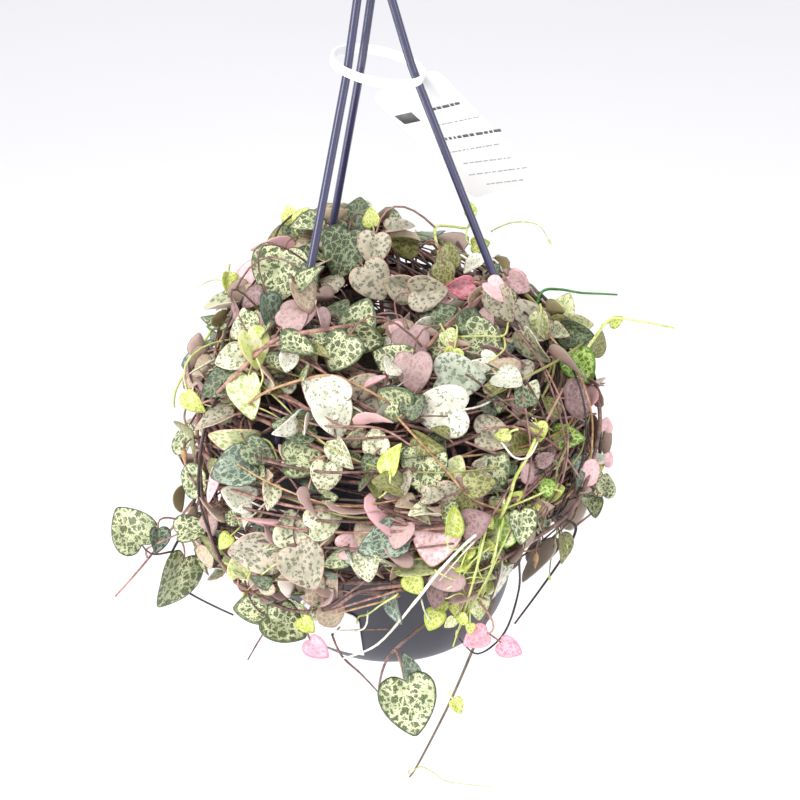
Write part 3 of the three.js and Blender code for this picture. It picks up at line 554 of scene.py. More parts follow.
def tip_of(leaf):
    along = NOTCH_TO_TIP * leaf["size"]
    drop = leaf["curl"] * along * along / leaf["size"]
    return leaf["base"] + leaf["axis"] * along - leaf["normal"] * drop


# ---- The nest's edges in the front view ----

# No leaf that only the scene has stands out past them, and the imported ones past the lower
# right edge are pale, partly their own colour and partly painted light, for the light that comes
# through their shaded undersides. That edge draws in below a height, by so much for each
# millimetre.
LEFT_EDGE = -90
RIGHT_EDGE = dict(edge=80, below=-50, slope=0.95)


def half_across(leaf):
    """Half of what a leaf takes up across the front view."""
    side = leaf["normal"].cross(leaf["axis"])
    return 0.45 * leaf["size"] * (abs(leaf["axis"].x) + abs(side.x))


def past_left(leaf):
    return place_in_view(middle_of(leaf))[0] - half_across(leaf) < LEFT_EDGE


def past_lower_right(leaf):
    right, up, _ = place_in_view(middle_of(leaf))
    drop = RIGHT_EDGE["below"] - up
    edge = RIGHT_EDGE["edge"] - RIGHT_EDGE["slope"] * drop
    return drop > 0 and right + half_across(leaf) > edge


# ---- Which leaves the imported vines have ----

TIP_MATCH = 0.05


def vine_name(number):
    return f"vine_{number + 1:02d}"


def packed_points():
    """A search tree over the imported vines' points, with the vine of each."""
    owners = []
    places = []
    for number in range(len(STEMS)):
        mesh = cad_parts[vine_name(number)].data
        places += [v.co / MM for v in mesh.vertices]
        owners += [number] * len(mesh.vertices)
    tree = kdtree.KDTree(len(places))
    for i, place in enumerate(places):
        tree.insert(place, i)
    tree.balance()
    return tree, owners


PACKED, OWNERS = packed_points()


def owner_of(leaf):
    """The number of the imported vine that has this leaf, or None."""
    _, index, far = PACKED.find(tip_of(leaf) + leaf["normal"] * (BLADE / 2))
    return OWNERS[index] if far < TIP_MATCH else None


def foot_on(vine, leaf, nearest=2.5):
    """The vine's point that the leaf's stalk reaches from behind its notch, and how far it is."""
    ends = []
    for foot in vine["path"][vine["lane_start"]:-1]:
        stalk = foot - leaf["base"]
        if stalk.dot(leaf["axis"]) < 0 and stalk.length > nearest:
            ends.append((stalk.length, foot))
    if not ends:
        return None, math.inf
    far, foot = min(ends, key=lambda end: end[0])
    return foot, far


def find_shown_leaves(vines):
    """Each front leaf where the part has it, or on the nest's surface where it has none."""
    for index, row in enumerate(SHOWN_LEAVES):
        tries = [shown_leaf(row, index, stand) for stand in STANDS]
        owned = [(owner_of(leaf), leaf) for leaf in tries]
        found = [(number, leaf) for number, leaf in owned if number is not None]
        if found:
            number, leaf = found[0]
            vine = vines[number]
        else:
            leaf = tries[0]
            vine = min(vines, key=lambda v: foot_on(v, leaf)[1])
        leaf["foot"] = foot_on(vine, leaf)[0]
        vine["leaves"].append(leaf)


COMMON_LOOKS = [
    "marbled", "marbled", "marbled", "marbled", "dark", "dark", "teal", "grey", "grey", "cream",
    "cream", "beige", "beige", "olive", "olive", "mauve", "white", "pink", "purple",
]


def any_look(seed):
    return COMMON_LOOKS[int(draw(seed, 21) * len(COMMON_LOOKS))]


def find_stem_leaves(vines):
    """The leaves that follow the part's rule along each wound stem, where the part has them."""
    for v, vine in enumerate(vines):
        walked = LEAF_SPACING * draw(v, 11)
        start, end = vine["lane_start"], vine["lane_end"]
        for i in range(start + 1, end):
            point = vine["path"][i]
            walked += (point - vine["path"][i - 1]).length
            if walked < LEAF_SPACING:
                continue
            walked -= LEAF_SPACING
            azimuth = vine["start"] + vine["wind"] * (i - start) / (end - start)
            outward = nest_normal(azimuth, vine["level"])
            for turn in range(TRIES):
                leaf = stem_leaf(point, outward, 1000 * v + 20 * i + turn)
                if owner_of(leaf) == v:
                    # The pale look past the lower right edge is partly painted light, for light let
                    # through these shaded leaves.
                    look = "white" if past_lower_right(leaf) else any_look(1000 * v + i)
                    vine["leaves"].append(dict(leaf, foot=point, look=look))
                    break


# ---- Foliage meshes ----

# Half a heart from the notch round to the tip, for a leaf 1 long and 1 wide.
HALF_HEART = [
    (0, 0), (-0.05, 0.07), (-0.095, 0.2), (-0.04, 0.38), (0.13, 0.49),
    (0.37, 0.475), (0.6, 0.355), (0.79, 0.185), (0.895, 0.05), (0.905, 0),
]
LEAF_MIDDLE = (0.36, 0)

LEAF_SLOT = 0
STEM_SLOT = 1


def linked(name, data):
    """A new object of the scene with this data."""
    made = bpy.data.objects.new(name, data)
    bpy.context.scene.collection.objects.link(made)
    return made


def add_piece(name, mesh, slot, *nodes):
    """The mesh as a piece of the scene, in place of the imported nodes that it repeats."""
    mesh.validate()
    mesh.shade_smooth()
    piece = linked(name, mesh)
    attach(piece, "root")
    if nodes:
        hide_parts(*nodes)
    return piece


def ring_faces(rings, sides):
    """Faces of four corners between rings of points that follow one another."""
    return [(i + k, i + (k + 1) % sides, i + sides + (k + 1) % sides, i + sides + k)
            for i in range(0, (rings - 1) * sides, sides) for k in range(sides)]


def heart_template(half_heart, steps, rings):
    """Flat places along and across, share of the way to the rim, and faces of both sides.

    The upper side comes first, then the shared rim, then the lower side.
    """
    half = smoothed([Vector((x, y, 0)) for x, y in half_heart], steps)
    mirrored = [Vector((p.x, -p.y, 0)) for p in reversed(half[1:-1])]
    rim = np.array([*half, *mirrored])[:, :2]
    count = len(rim)
    middle = np.array(LEAF_MIDDLE)
    flat = np.vstack([middle[None], *[middle + (rim - middle) * share for share in rings], rim])
    edge = np.concatenate([[0], *[np.full(count, share) for share in rings], np.ones(count)])
    faces = [(0, 1 + k, 1 + (k + 1) % count) for k in range(count)]
    for a, b, c, d in ring_faces(len(rings) + 1, count):
        faces += [(1 + a, 1 + d, 1 + c), (1 + a, 1 + c, 1 + b)]
    upper = np.array(faces)
    inner = len(flat) - count
    lower = upper.copy()
    lower[lower < inner] += inner + count
    return dict(flat=flat, edge=edge, faces=np.vstack([upper, lower[:, ::-1]]), inner=inner,
                rim=count)


FINE_HEART = heart_template(HALF_HEART, steps=2, rings=[0.35, 0.68, 0.93])
PLAIN_HEART = heart_template(HALF_HEART, steps=1, rings=[0.5, 0.92])


class Foliage:
    """The points, faces and per-point values of one piece."""

    def __init__(self):
        self.points, self.faces, self.slots = [], [], []
        self.values = {name: [] for name in ("dark", "light", "rim", "under", "spot", "blade")}
        self.count = 0

    def add(self, points, faces, slot, **values):
        self.points.append(points)
        self.faces.append(np.asarray(faces) + self.count)
        self.slots.append(np.full(len(faces), slot))
        for name, rows in self.values.items():
            given = np.asarray(values.get(name, (0, 0, 0)), float)
            rows.append(np.broadcast_to(given, (len(points), 3)))
        self.count += len(points)

    def build(self, name, *nodes):
        points = np.vstack(self.points) * MM
        faces = np.vstack(self.faces)
        mesh = bpy.data.meshes.new(name)
        mesh.vertices.add(len(points))
        mesh.vertices.foreach_set("co", points.ravel())
        mesh.loops.add(faces.size)
        mesh.loops.foreach_set("vertex_index", faces.ravel())
        mesh.polygons.add(len(faces))
        mesh.polygons.foreach_set("loop_start", np.arange(0, faces.size, 3))
        mesh.polygons.foreach_set("material_index", np.concatenate(self.slots))
        for value, rows in self.values.items():
            layer = mesh.attributes.new(value, "FLOAT_VECTOR", "POINT")
            layer.data.foreach_set("vector", np.vstack(rows).ravel())
        mesh.update()
        mesh.materials.append(LEAF_MATERIAL)
        mesh.materials.append(STEM_MATERIAL)
        add_piece(name, mesh, "foliage", *nodes)


MIDRIB_SOFTNESS = 0.06  # width of the fold's rounded bottom, as a share of the leaf
RIPPLE = 0.015  # height of the rim's ripple, as a share of the leaf
EDGE_THINNING = 0.45  # share of its thickness that a blade loses at its rim
MARBLING_SIZE = 21  # length of a leaf whose marbling has its natural scale
MARBLING_LAYERS = 40  # depth of the marbling that the leaves' own cuts are spread over
PINK_RIM = "d0a092"
PINK_RIMS = 0.3  # share of the pale leaves that have one
PALE_SHARE = 0.6  # a look with more of its light colour counts as pale


def varied(code, seed, turn, amount=0.13):
    """A look's colour, a little lighter or darker."""
    return np.array(linear(code)) * (1 + amount * (2 * draw(seed, turn) - 1))


def rim_colour(look, seed):
    pink = look["share"] > PALE_SHARE and draw(seed, 37) < PINK_RIMS
    return varied(PINK_RIM if pink else look["rim"], seed, 35)


def add_blade(foliage, leaf, seed):
    """A cupped, fleshy heart, folded along its midrib and curled back, as the part's is."""
    heart = PLAIN_HEART if leaf.get("inner") else FINE_HEART
    flat, edge, inner, rim = heart["flat"], heart["edge"], heart["inner"], heart["rim"]
    size, fold = leaf["size"], leaf["fold"]
    axis, normal = np.array(leaf["axis"]), np.array(leaf["normal"])
    side = np.cross(normal, axis)
    along = flat[:, 0] * size
    across = flat[:, 1] * size * leaf["width"]
    soft = MIDRIB_SOFTNESS * size
    lift = (np.sqrt(across**2 + soft**2) - soft) * math.sin(fold)
    lift -= leaf["curl"] * along**2 / size
    angle = np.arctan2(flat[:, 1], flat[:, 0] - LEAF_MIDDLE[0])
    lift += RIPPLE * size * edge**3 * np.sin(angle * 3 + phase(seed, 31))
    middle = (np.array(leaf["base"]) + along[:, None] * axis
              + (across * math.cos(fold))[:, None] * side + lift[:, None] * normal)
    half = (BLADE / 2 * (1 - EDGE_THINNING * edge**4))[:, None] * normal
    points = [middle[:inner] + half[:inner], middle[inner:], middle[:inner] - half[:inner]]
    spread = (MARBLING_SIZE / size) ** 0.7
    layer = np.full(len(along), MARBLING_LAYERS * draw(seed, 32))
    place = np.column_stack([along * spread, across * spread, layer])
    both = np.concatenate([np.arange(inner + rim), np.arange(inner)])
    upper = np.concatenate([np.ones(inner), np.full(rim, 0.9), np.zeros(inner)])
    look = LOOKS[leaf["look"]]
    foliage.add(
        np.vstack(points), heart["faces"], LEAF_SLOT, spot=place[both],
        dark=varied(look["dark"], seed, 33), light=varied(look["light"], seed, 34, amount=0.06),
        rim=rim_colour(look, seed), under=varied(look["under"], seed, 36),
        blade=np.column_stack([edge[both], np.full(len(both), look["share"]), upper]),
    )


# Dark and light colour of the bark.
STEM_COLOURS = {
    "brown": ("4b352f", "927068"),
    "pinkish": ("7d544c", "ba9184"),
    "dark": ("231d1c", "453836"),
    "green": ("6d6a3c", "a6a268"),
    "lime": ("a9b552", "dbe39a"),
    "white": ("c9c7b4", "f4f1e4"),
    "tan": ("8d6a45", "c7a27a"),
    "olive": ("7f7f45", "b3b070"),
    "grass": ("27641c", "4f9340"),
    "bark": ("4f4434", "7d6a55"),
}
SLANT = np.array([0.31, 0.17, 0.93])  # a way that few stems take, to turn their rings from
CAP = 0.5  # how far a stem's rounded ends reach past it, as a share of its radius


def circle_turns(sides):
    return np.arange(sides) / sides * 2 * math.pi


def tube_points(path, radii, sides):
    """Rings of points round a path, with a radius at each, and a point past each end."""
    points = np.array([tuple(p) for p in path])
    along = np.gradient(points, axis=0)
    along /= np.linalg.norm(along, axis=1)[:, None]
    across = SLANT
    turns = circle_turns(sides)
    rings = []
    for point, way, radius in zip(points, along, radii):
        if abs(across @ way) > 0.99:
            across = np.array([1.0, 0, 0])
        across = across - way * (across @ way)
        across /= np.linalg.norm(across)
        beside = np.cross(way, across)
        rings.append(point + radius * (np.cos(turns)[:, None] * across
                                       + np.sin(turns)[:, None] * beside))
    rings.append(points[:1] - along[0] * radii[0] * CAP)
    rings.append(points[-1:] + along[-1] * radii[-1] * CAP)
    return np.vstack(rings)


def tube_faces(count, sides):
    """Triangles between a tube's rings, and from its end rings to the points past them."""
    faces = []
    for a, b, c, d in ring_faces(count, sides):
        faces += [(a, b, c), (a, c, d)]
    last = (count - 1) * sides
    for k in range(sides):
        n = (k + 1) % sides
        faces += [(count * sides, n, k), (count * sides + 1, last + k, last + n)]
    return faces


def add_tube(foliage, path, radii, sides, kind, seed):
    """A closed round stem through the points, with a radius at each."""
    points = np.array([tuple(p) for p in path])
    count = len(points)
    walked = np.concatenate([[0], np.cumsum(np.linalg.norm(np.diff(points, axis=0), axis=1))])
    spot = np.zeros((count * sides + 2, 3))
    spot[:count * sides, 0] = np.repeat(walked, sides)
    spot[:count * sides, 1] = np.tile(np.sin(circle_turns(sides)), count)
    spot[:, 2] = MARBLING_LAYERS * draw(seed, 41)
    dark, light = STEM_COLOURS[kind]
    foliage.add(tube_points(path, radii, sides), tube_faces(count, sides), STEM_SLOT, spot=spot,
                dark=varied(dark, seed, 42), light=varied(light, seed, 43))


STALK_COLOURS = {
    "lime": "lime", "pale": "lime", "white": "white", "bright": "lime", "hot": "pinkish",
}
STALK_STEPS = 7
STALK_SIDES = 5
STALK_RADII = (0.55, 0.4)
STALK_BOW = dict(along=0.4, under=0.12, rise=0.1)  # as shares of the stalk's length


def add_stalk(foliage, leaf, seed):
    """The leaf's stalk, in one smooth bow from the stem that ends along the leaf at its notch."""
    foot, base = leaf["foot"], leaf["base"]
    far = (base - foot).length
    before = (base - leaf["axis"] * (STALK_BOW["along"] * far)
              - leaf["normal"] * (STALK_BOW["under"] * far))
    after = foot.lerp(before, 0.5) + UP * (STALK_BOW["rise"] * far)
    path = []
    for k in range(STALK_STEPS + 1):
        t = k / STALK_STEPS
        a, b, c = foot.lerp(after, t), after.lerp(before, t), before.lerp(base, t)
        path.append(a.lerp(b, t).lerp(b.lerp(c, t), t))
    radii = np.linspace(*STALK_RADII, len(path))
    kind = STALK_COLOURS.get(leaf["look"], "pinkish" if draw(seed, 51) < 0.5 else "brown")
    add_tube(foliage, path, radii, STALK_SIDES, kind, seed)


def add_leaf(foliage, leaf, seed):
    add_blade(foliage, leaf, seed)
    if leaf["foot"] is not None:
        add_stalk(foliage, leaf, seed)


# ---- Materials ----


class Nodes:
    """Short calls for a material's node tree."""

    def __init__(self, name):
        self.material = bpy.data.materials.new(name)
        self.material.use_nodes = True
        self.tree = self.material.node_tree
        self.shader = self.tree.nodes["Principled BSDF"]

    def put(self, value, socket):
        if hasattr(value, "is_linked"):
            self.tree.links.new(value, socket)
        else:
            socket.default_value = value

    def node(self, kind, inputs, **settings):
        """A node with these settings, and a value or a link at each of the inputs."""
        made = self.tree.nodes.new(kind)
        for name, value in settings.items():
            setattr(made, name, value)
        for place, value in inputs.items():
            self.put(value, made.inputs[place])
        return made

    def math(self, operation, *values):
        return self.node("ShaderNodeMath", dict(enumerate(values)), operation=operation).outputs[0]

    def plus(self, a, b):
        return self.math("ADD", a, b)

    def minus(self, a, b):
        return self.math("SUBTRACT", a, b)

    def times(self, a, b):
        return self.math("MULTIPLY", a, b)

    def scaled(self, value, factor, offset):
        return self.math("MULTIPLY_ADD", value, factor, offset)

    def inverse(self, share):
        return self.minus(1.0, share)

    def frayed(self, value, fray, amount):
        """A value that the fray raises in places and lowers in others."""
        return self.plus(value, self.times(self.minus(fray, 0.5), amount))

    def step(self, value, low, high):
        """A smooth rise from 0 to 1 while the value goes from low to high."""
        inputs = {"Value": value, "From Min": low, "From Max": high}
        made = self.node("ShaderNodeMapRange", inputs, interpolation_type="SMOOTHSTEP")
        return made.outputs[0]

    def step_round(self, value, middle, half):
        return self.step(value, self.minus(middle, half), self.plus(middle, half))

    def attribute(self, name):
        return self.node("ShaderNodeAttribute", {}, attribute_name=name).outputs["Vector"]

    def parts(self, vector):
        return self.node("ShaderNodeSeparateXYZ", {0: vector}).outputs

    def mix(self, share, a, b, how="MIX"):
        inputs = {0: share, 6: a, 7: b}
        return self.node("ShaderNodeMix", inputs, data_type="RGBA", blend_type=how).outputs[2]

    def noise(self, place, scale, detail=2.0, rough=0.5, output="Fac"):
        inputs = {"Vector": place, "Scale": scale, "Detail": detail, "Roughness": rough}
        return self.node("ShaderNodeTexNoise", inputs).outputs[output]

    def cells(self, place, scale, feature="F1"):
        inputs = {"Vector": place, "Scale": scale}
        return self.node("ShaderNodeTexVoronoi", inputs, feature=feature).outputs["Distance"]

    def object_place(self):
        return self.node("ShaderNodeTexCoord", {}).outputs["Object"]

    def bump(self, height, strength, distance):
        inputs = {"Height": height, "Strength": strength, "Distance": distance * MM}
        made = self.node("ShaderNodeBump", inputs)
        self.put(made.outputs[0], self.shader.inputs["Normal"])

    def finish(self, colour, roughness):
        self.put(colour, self.shader.inputs["Base Color"])
        self.put(roughness, self.shader.inputs["Roughness"])
        return self.material


# The marbling's scales, each to the millimetre: cells of its net, its spots, their frayed edges,
# its specks, the wandering that bends it, slow shading and regions of a duller light colour.
NET = 0.33
SPOTS = 0.5
FRAY = 2.5
SPECKS = 3.8
WANDER = 0.7
SHADE = 0.22
REGIONS = 0.11

# Where its steps start and end: from net to spots by the light colour's share, the specks and
# the regions by their noise, away from the midrib, from blade to rim, from under to upper side.
NET_STEP = (0.52, 0.58)
SPECK_STEP = (0.56, 0.64)
REGION_STEP = (0.42, 0.62)
MIDRIB_STEP = (0.1, 0.4)
RIM_STEP = (0.94, 0.985)
UPPER_STEP = (0.2, 0.7)

WANDER_REACH = (3.2, 3.2, 3.2)
NET_WIDTH = dict(factor=0.55, offset=-0.145)  # grows with the light colour's share
BORDER_START = dict(factor=0.22, offset=0.74)  # each leaf has its own
BORDER_DEPTH = 0.08
BORDER_DARK = 0.8
SHADES = ((0.8, 0.82, 0.78, 1), (1.16, 1.15, 1.12, 1))


def leaf_net(n, place, fray, share):
    """How light a dark leaf is: dark cells with frayed edges in a pale net."""
    field = n.frayed(n.cells(place, NET, "DISTANCE_TO_EDGE"), fray, 0.5)
    return n.inverse(n.step_round(field, n.scaled(share, **NET_WIDTH), 0.035))


def leaf_spots(n, place, fray, share):
    """How light a pale leaf is, with small dark spots on it."""
    field = n.plus(n.times(n.cells(place, SPOTS), 0.75), n.times(fray, 0.8))
    threshold = n.minus(1.12, n.times(share, 0.62))
    return n.step_round(field, threshold, 0.045)


def leaf_light(n, spot, fray, share, pale):
    """How light a leaf is from place to place, with its specks and its midrib."""
    wander = n.noise(spot, WANDER, detail=4.0, output="Color")
    inputs = {0: wander, 1: WANDER_REACH, 2: spot}
    place = n.node("ShaderNodeVectorMath", inputs, operation="MULTIPLY_ADD").outputs[0]
    net = n.times(leaf_net(n, place, fray, share), n.inverse(pale))
    spots = n.times(leaf_spots(n, place, fray, share), pale)
    specks = n.times(n.step(n.noise(spot, SPECKS, detail=1.0), *SPECK_STEP), 0.5)
    light = n.math("MAXIMUM", n.plus(net, spots), specks)
    across = n.math("ABSOLUTE", n.parts(spot)[1])
    return n.math("MAXIMUM", light, n.times(n.inverse(n.step(across, *MIDRIB_STEP)), fray))


def leaf_border(n, edge, seed, fray, pale):
    """How dark the border of a netted leaf is, from its own ragged start outwards."""
    start = n.scaled(n.math("FRACT", n.times(seed, 0.37)), **BORDER_START)
    border = n.step(n.frayed(edge, fray, 0.3), start, n.plus(start, BORDER_DEPTH))
    return n.times(n.times(border, BORDER_DARK), n.inverse(pale))


def leaf_material():
    """A dark leaf with a pale net or a pale one with dark spots, speckled, and plainer below."""
    n = Nodes("leaf_marbled")
    spot, dark = n.attribute("spot"), n.attribute("dark")
    edge, share, upper = n.parts(n.attribute("blade"))
    fray = n.noise(spot, FRAY, detail=4.0, rough=0.65)
    pale = n.step(share, *NET_STEP)
    light = leaf_light(n, spot, fray, share, pale)
    region = n.times(n.step(n.noise(spot, REGIONS, detail=1.0), *REGION_STEP), 0.42)
    colour = n.mix(light, dark, n.mix(region, n.attribute("light"), dark))
    colour = n.mix(leaf_border(n, edge, n.parts(spot)[2], fray, pale), colour, dark)
    colour = n.mix(n.step(edge, *RIM_STEP), colour, n.attribute("rim"))
    under = n.mix(n.times(fray, 0.22), n.attribute("under"), dark)
    colour = n.mix(n.step(upper, *UPPER_STEP), under, colour)
    colour = n.mix(1.0, colour, n.mix(n.noise(spot, SHADE), *SHADES), "MULTIPLY")
    n.bump(n.plus(n.times(light, -0.3), fray), strength=0.3, distance=0.25)
    return n.finish(colour, n.scaled(fray, factor=0.25, offset=0.29))


def stem_material():
    """Thin woody bark with long streaks and paler bands."""
    n = Nodes("stem_bark")
    spot = n.attribute("spot")
    streaks = n.noise(spot, 0.7, detail=3.0, rough=0.6)
    patches = n.noise(spot, 0.12, detail=1.0)
    share = n.step(n.plus(n.times(streaks, 0.7), n.times(patches, 0.6)), 0.45, 0.85)
    n.bump(streaks, strength=0.3, distance=0.2)
    return n.finish(n.mix(share, n.attribute("dark"), n.attribute("light")), 0.55)


def plastic_material(name, code, roughness, grain, shine=0.5):
    """Moulded plastic: a fine grain and faint clouding."""
    n = Nodes(name)
    place = n.object_place()
    cloud = n.noise(place, 45.0, detail=3.0)
    dim, bright = ((*[c * share for c in linear(code)], 1) for share in (0.86, 1.16))
    n.bump(n.noise(place, grain), strength=0.12, distance=0.12)
    n.shader.inputs["Specular IOR Level"].default_value = shine
    return n.finish(n.mix(cloud, dim, bright), n.scaled(cloud, 0.14, roughness - 0.07))


def grey_tone(grey, warmth=0.0):
    return (grey, grey, grey * (1 - warmth), 1)


def paper_material(name, white):
    """Coated paper with a fine fibre."""
    n = Nodes(name)
    fibre = n.noise(n.object_place(), 900.0, detail=3.0, rough=0.7)
    n.bump(fibre, strength=0.08, distance=0.08)
    return n.finish(n.mix(fibre, grey_tone(0.96 * white), grey_tone(white, 0.01)), 0.5)


def print_material(name, grey):
    """Ink that lets the paper's fibre through."""
    n = Nodes(name)
    fibre = n.noise(n.object_place(), 700.0)
    return n.finish(n.mix(fibre, grey_tone(0.7 * grey, -0.03), grey_tone(1.3 * grey, -0.03)), 0.55)


def soil_material():
    n = Nodes("potting_soil")
    place = n.object_place()
    peat = n.noise(place, 260.0, detail=5.0, rough=0.7)
    n.bump(n.plus(n.cells(place, 420.0), peat), strength=0.9, distance=1.2)
    return n.finish(n.mix(peat, (0.006, 0.004, 0.003, 1), (0.06, 0.038, 0.024, 1)), 0.95)


def floor_material():
    n = Nodes("pale_floor")
    cloud = n.noise(n.object_place(), 1.5)
    return n.finish(n.mix(cloud, (0.85, 0.85, 0.87, 1), (0.89, 0.89, 0.91, 1)), 0.8)


LEAF_MATERIAL = leaf_material()
STEM_MATERIAL = stem_material()
POT_MATERIAL = plastic_material("anthracite_plastic", "32323c", roughness=0.4, grain=1500.0)
HANGER_MATERIAL = plastic_material("glossy_plastic", "302f52", roughness=0.22, grain=900.0,
                                   shine=1.0)
PAPER_MATERIAL = paper_material("coated_paper", white=0.99)
# The sticker has the tag's paper made darker: painted shade, for the shadow that the leaves cast on
# it.
STICKER_PAINTED_SHADE_MATERIAL = paper_material("sticker_paper_painted_shade", white=0.78)
PRINT_MATERIAL = print_material("printed_marks", grey=0.13)
FAINT_MATERIAL = print_material("faint_marks", grey=0.45)
SOIL_MATERIAL = soil_material()

# ---- Vines ----

VINE_SMOOTHING = 5
STEM_SIDES = 8
KNOTS = 0.08
KNOT_BEAT = 1.9
THIN_END = ([0, 0.6, 1], [1, 1, 0.55])  # places along a stem, and shares of its radius there
FREE_RADII = (0.85 * STEM_RADIUS, 0.45 * STEM_RADIUS)
WOUND_COLOURS = ("brown", "pinkish", "brown")
FREE_COLOURS = {1: "bark", 2: "dark", 3: "dark", 8: "lime", 10: "lime", 12: "grass", 16: "lime"}


def tube_radii(count, radius, thin_end):
    """A stem's radii: knotty, and thinner towards its free end."""
    radii = np.full(count, float(radius))
    radii *= 1 + KNOTS * np.sin(np.arange(count) * KNOT_BEAT)
    if thin_end:
        radii *= np.interp(np.arange(count) / count, *THIN_END)
    return radii


def build_vine(number, vine):
    """A packed vine's finer piece: its wound stem, its free end and its leaves."""
    foliage = Foliage()
    path = smoothed(vine["path"], VINE_SMOOTHING)
    radii = tube_radii(len(path), STEM_RADIUS, bool(vine["free"]))
    kind = WOUND_COLOURS[number % len(WOUND_COLOURS)]
    wound = VINE_SMOOTHING * vine["lane_end"] + 1
    add_tube(foliage, path[:wound], radii[:wound], STEM_SIDES, kind, number)
    if vine["free"]:
        tail = path[wound - 1:]
        radii = np.linspace(*FREE_RADII, len(tail))
        add_tube(foliage, tail, radii, STEM_SIDES, FREE_COLOURS.get(number, kind), number)
    for i, leaf in enumerate(vine["leaves"]):
        add_leaf(foliage, leaf, 500 * number + 3 * i + 7)
    foliage.build(f"grown_{vine_name(number)}", vine_name(number))


vines = [dict(stem_path(stem), leaves=[]) for stem in STEMS]
find_shown_leaves(vines)
find_stem_leaves(vines)
for number, vine in enumerate(vines):
    build_vine(number, vine)

# ---- More strands and leaves inside the nest ----

LEG_CLEARANCE = 5.5
LEAF_CROWDING = 0.23
SHOWN_CROWDING = 0.3
IN_FRONT = 3
POT_VIEW = dict(left=-26, right=47, top=-74)
STRAND_STEP = 9
STRAND_SIDES = 6
TUCK = 7  # how far below the nest's surface a stem's tucked end is
INNER_COLOURS = ("brown", "brown", "dark", "pinkish")
INNER_PIECES = 12
STRANDS_EACH = 12
INNER_SEEDS = 100
OUTER_COLOURS = ("brown", "pinkish", "brown", "tan", "olive")
OUTER_SEEDS = range(300, 345)


def leg_distance(point):
    """How far a point of the nest is from the nearest leg of the hanger."""
    return min(
        (point - polar(azimuth, leg_radius_at(name, point.z), point.z)).length
        for name, azimuth in LEG_AZIMUTHS.items()
    )


def inner_strand(seed):
    """A thin stem that winds part of the way round inside the nest, up and down a little."""
    level = between(0.6, 8.0, seed, 71)
    depth = between(2.5, 16, seed, 72)
    start = between(-180, 180, seed, 73)
    wind = between(60, 260, seed, 74) * (1 if draw(seed, 75) < 0.5 else -1)
    sway = between(0.3, 1.9, seed, 76)
    beat = between(0.012, 0.04, seed, 77)
    steps = max(4, int(abs(wind) / STRAND_STEP))
    strand = []
    for i in range(steps):
        turned = wind * i / steps
        azimuth = start + turned
        here = level + sway * math.sin(beat * turned + phase(seed, 78))
        here = min(max(here, 0.5), 8.6)
        below = depth + 2.0 * math.sin(0.05 * turned + phase(seed, 79))
        point = nest_point(azimuth, clear_of_legs(azimuth, here, below), below)
        strand.append(dict(azimuth=azimuth, level=here, below=below, point=point))
    return strand


class Crowd:
    """The leaves placed so far, to keep new ones from covering or meeting them."""

    def __init__(self, leaves):
        self.middles = []
        self.sizes = []
        self.seen = []
        for leaf in leaves:
            self.add(leaf)
        self.shown = len(leaves)

    def add(self, leaf):
        middle = middle_of(leaf)
        self.middles.append(tuple(middle))
        self.sizes.append(leaf["size"])
        self.seen.append(place_in_view(middle))

    def meets(self, leaf):
        apart = np.linalg.norm(np.array(self.middles) - np.array(middle_of(leaf)), axis=1)
        return bool(np.any(apart < LEAF_CROWDING * (np.array(self.sizes) + leaf["size"])))

    def covers_shown(self, leaf):
        """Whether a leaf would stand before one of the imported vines' leaves in the front view."""
        right, up, reach = place_in_view(middle_of(leaf))
        seen = np.array(self.seen[:self.shown])
        apart = np.hypot(seen[:, 0] - right, seen[:, 1] - up)
        close = apart < SHOWN_CROWDING * (np.array(self.sizes[:self.shown]) + leaf["size"])
        return bool(np.any(close & (reach < seen[:, 2] + IN_FRONT)))


def hides_pot(middle):
    """Whether a leaf here would hide the part of the pot's wall that the front shows."""
    right, up, _ = place_in_view(middle)
    return middle.y < 0 and POT_VIEW["left"] < right < POT_VIEW["right"] and up < POT_VIEW["top"]


def inner_leaf(place, seed):
    """A leaf on a stalk from an inner strand out to the nest's surface, turned any way."""
    outward = nest_normal(place["azimuth"], place["level"])
    leaf = stem_leaf(place["point"], outward, seed)
    rise = max(place["below"] - between(0.5, 9, seed, 15), 0)
    turn = 3.2 * (draw(seed, 16) - 0.5)
    leaf.update(
        base=leaf["base"] + outward * rise, size=leaf["size"] * between(0.45, 0.95, seed, 17),
        normal=Quaternion(leaf["axis"], turn) @ leaf["normal"], inner=True,
        fold=between(0.1, 0.75, seed, 18), curl=between(-0.15, 0.5, seed, 19),
        foot=place["point"], look=any_look(seed),
    )
    return leaf


def in_box(middle, size):
    """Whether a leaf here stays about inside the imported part's box."""
    return all(low / MM + 0.3 * size < at < high / MM - 0.3 * size
               for low, at, high in zip(cad_low, middle, cad_high))


# Places of the front view where the photo shows more stems than leaves, with the share of the
# leaves that stay there and how far back it holds. The first one is the gap in the crown.
OPEN_PLACES = [
    dict(left=2, right=25, low=53, high=68, kept=0, back=90),
    dict(left=46, right=86, low=-32, high=30, kept=0.4, back=0),
    dict(left=-62, right=14, low=-57, high=-41, kept=0.4, back=0),
    dict(left=-60, right=-20, low=-16, high=-4, kept=0.4, back=0),
]


def left_open(middle, seed):
    """Whether a leaf here stays away, so that the stems behind it show."""
    right, up, _ = place_in_view(middle)
    for place in OPEN_PLACES:
        if place["left"] < right < place["right"] and place["low"] < up < place["high"]:
            return middle.y < place["back"] and draw(seed, 20) > place["kept"]
    return False


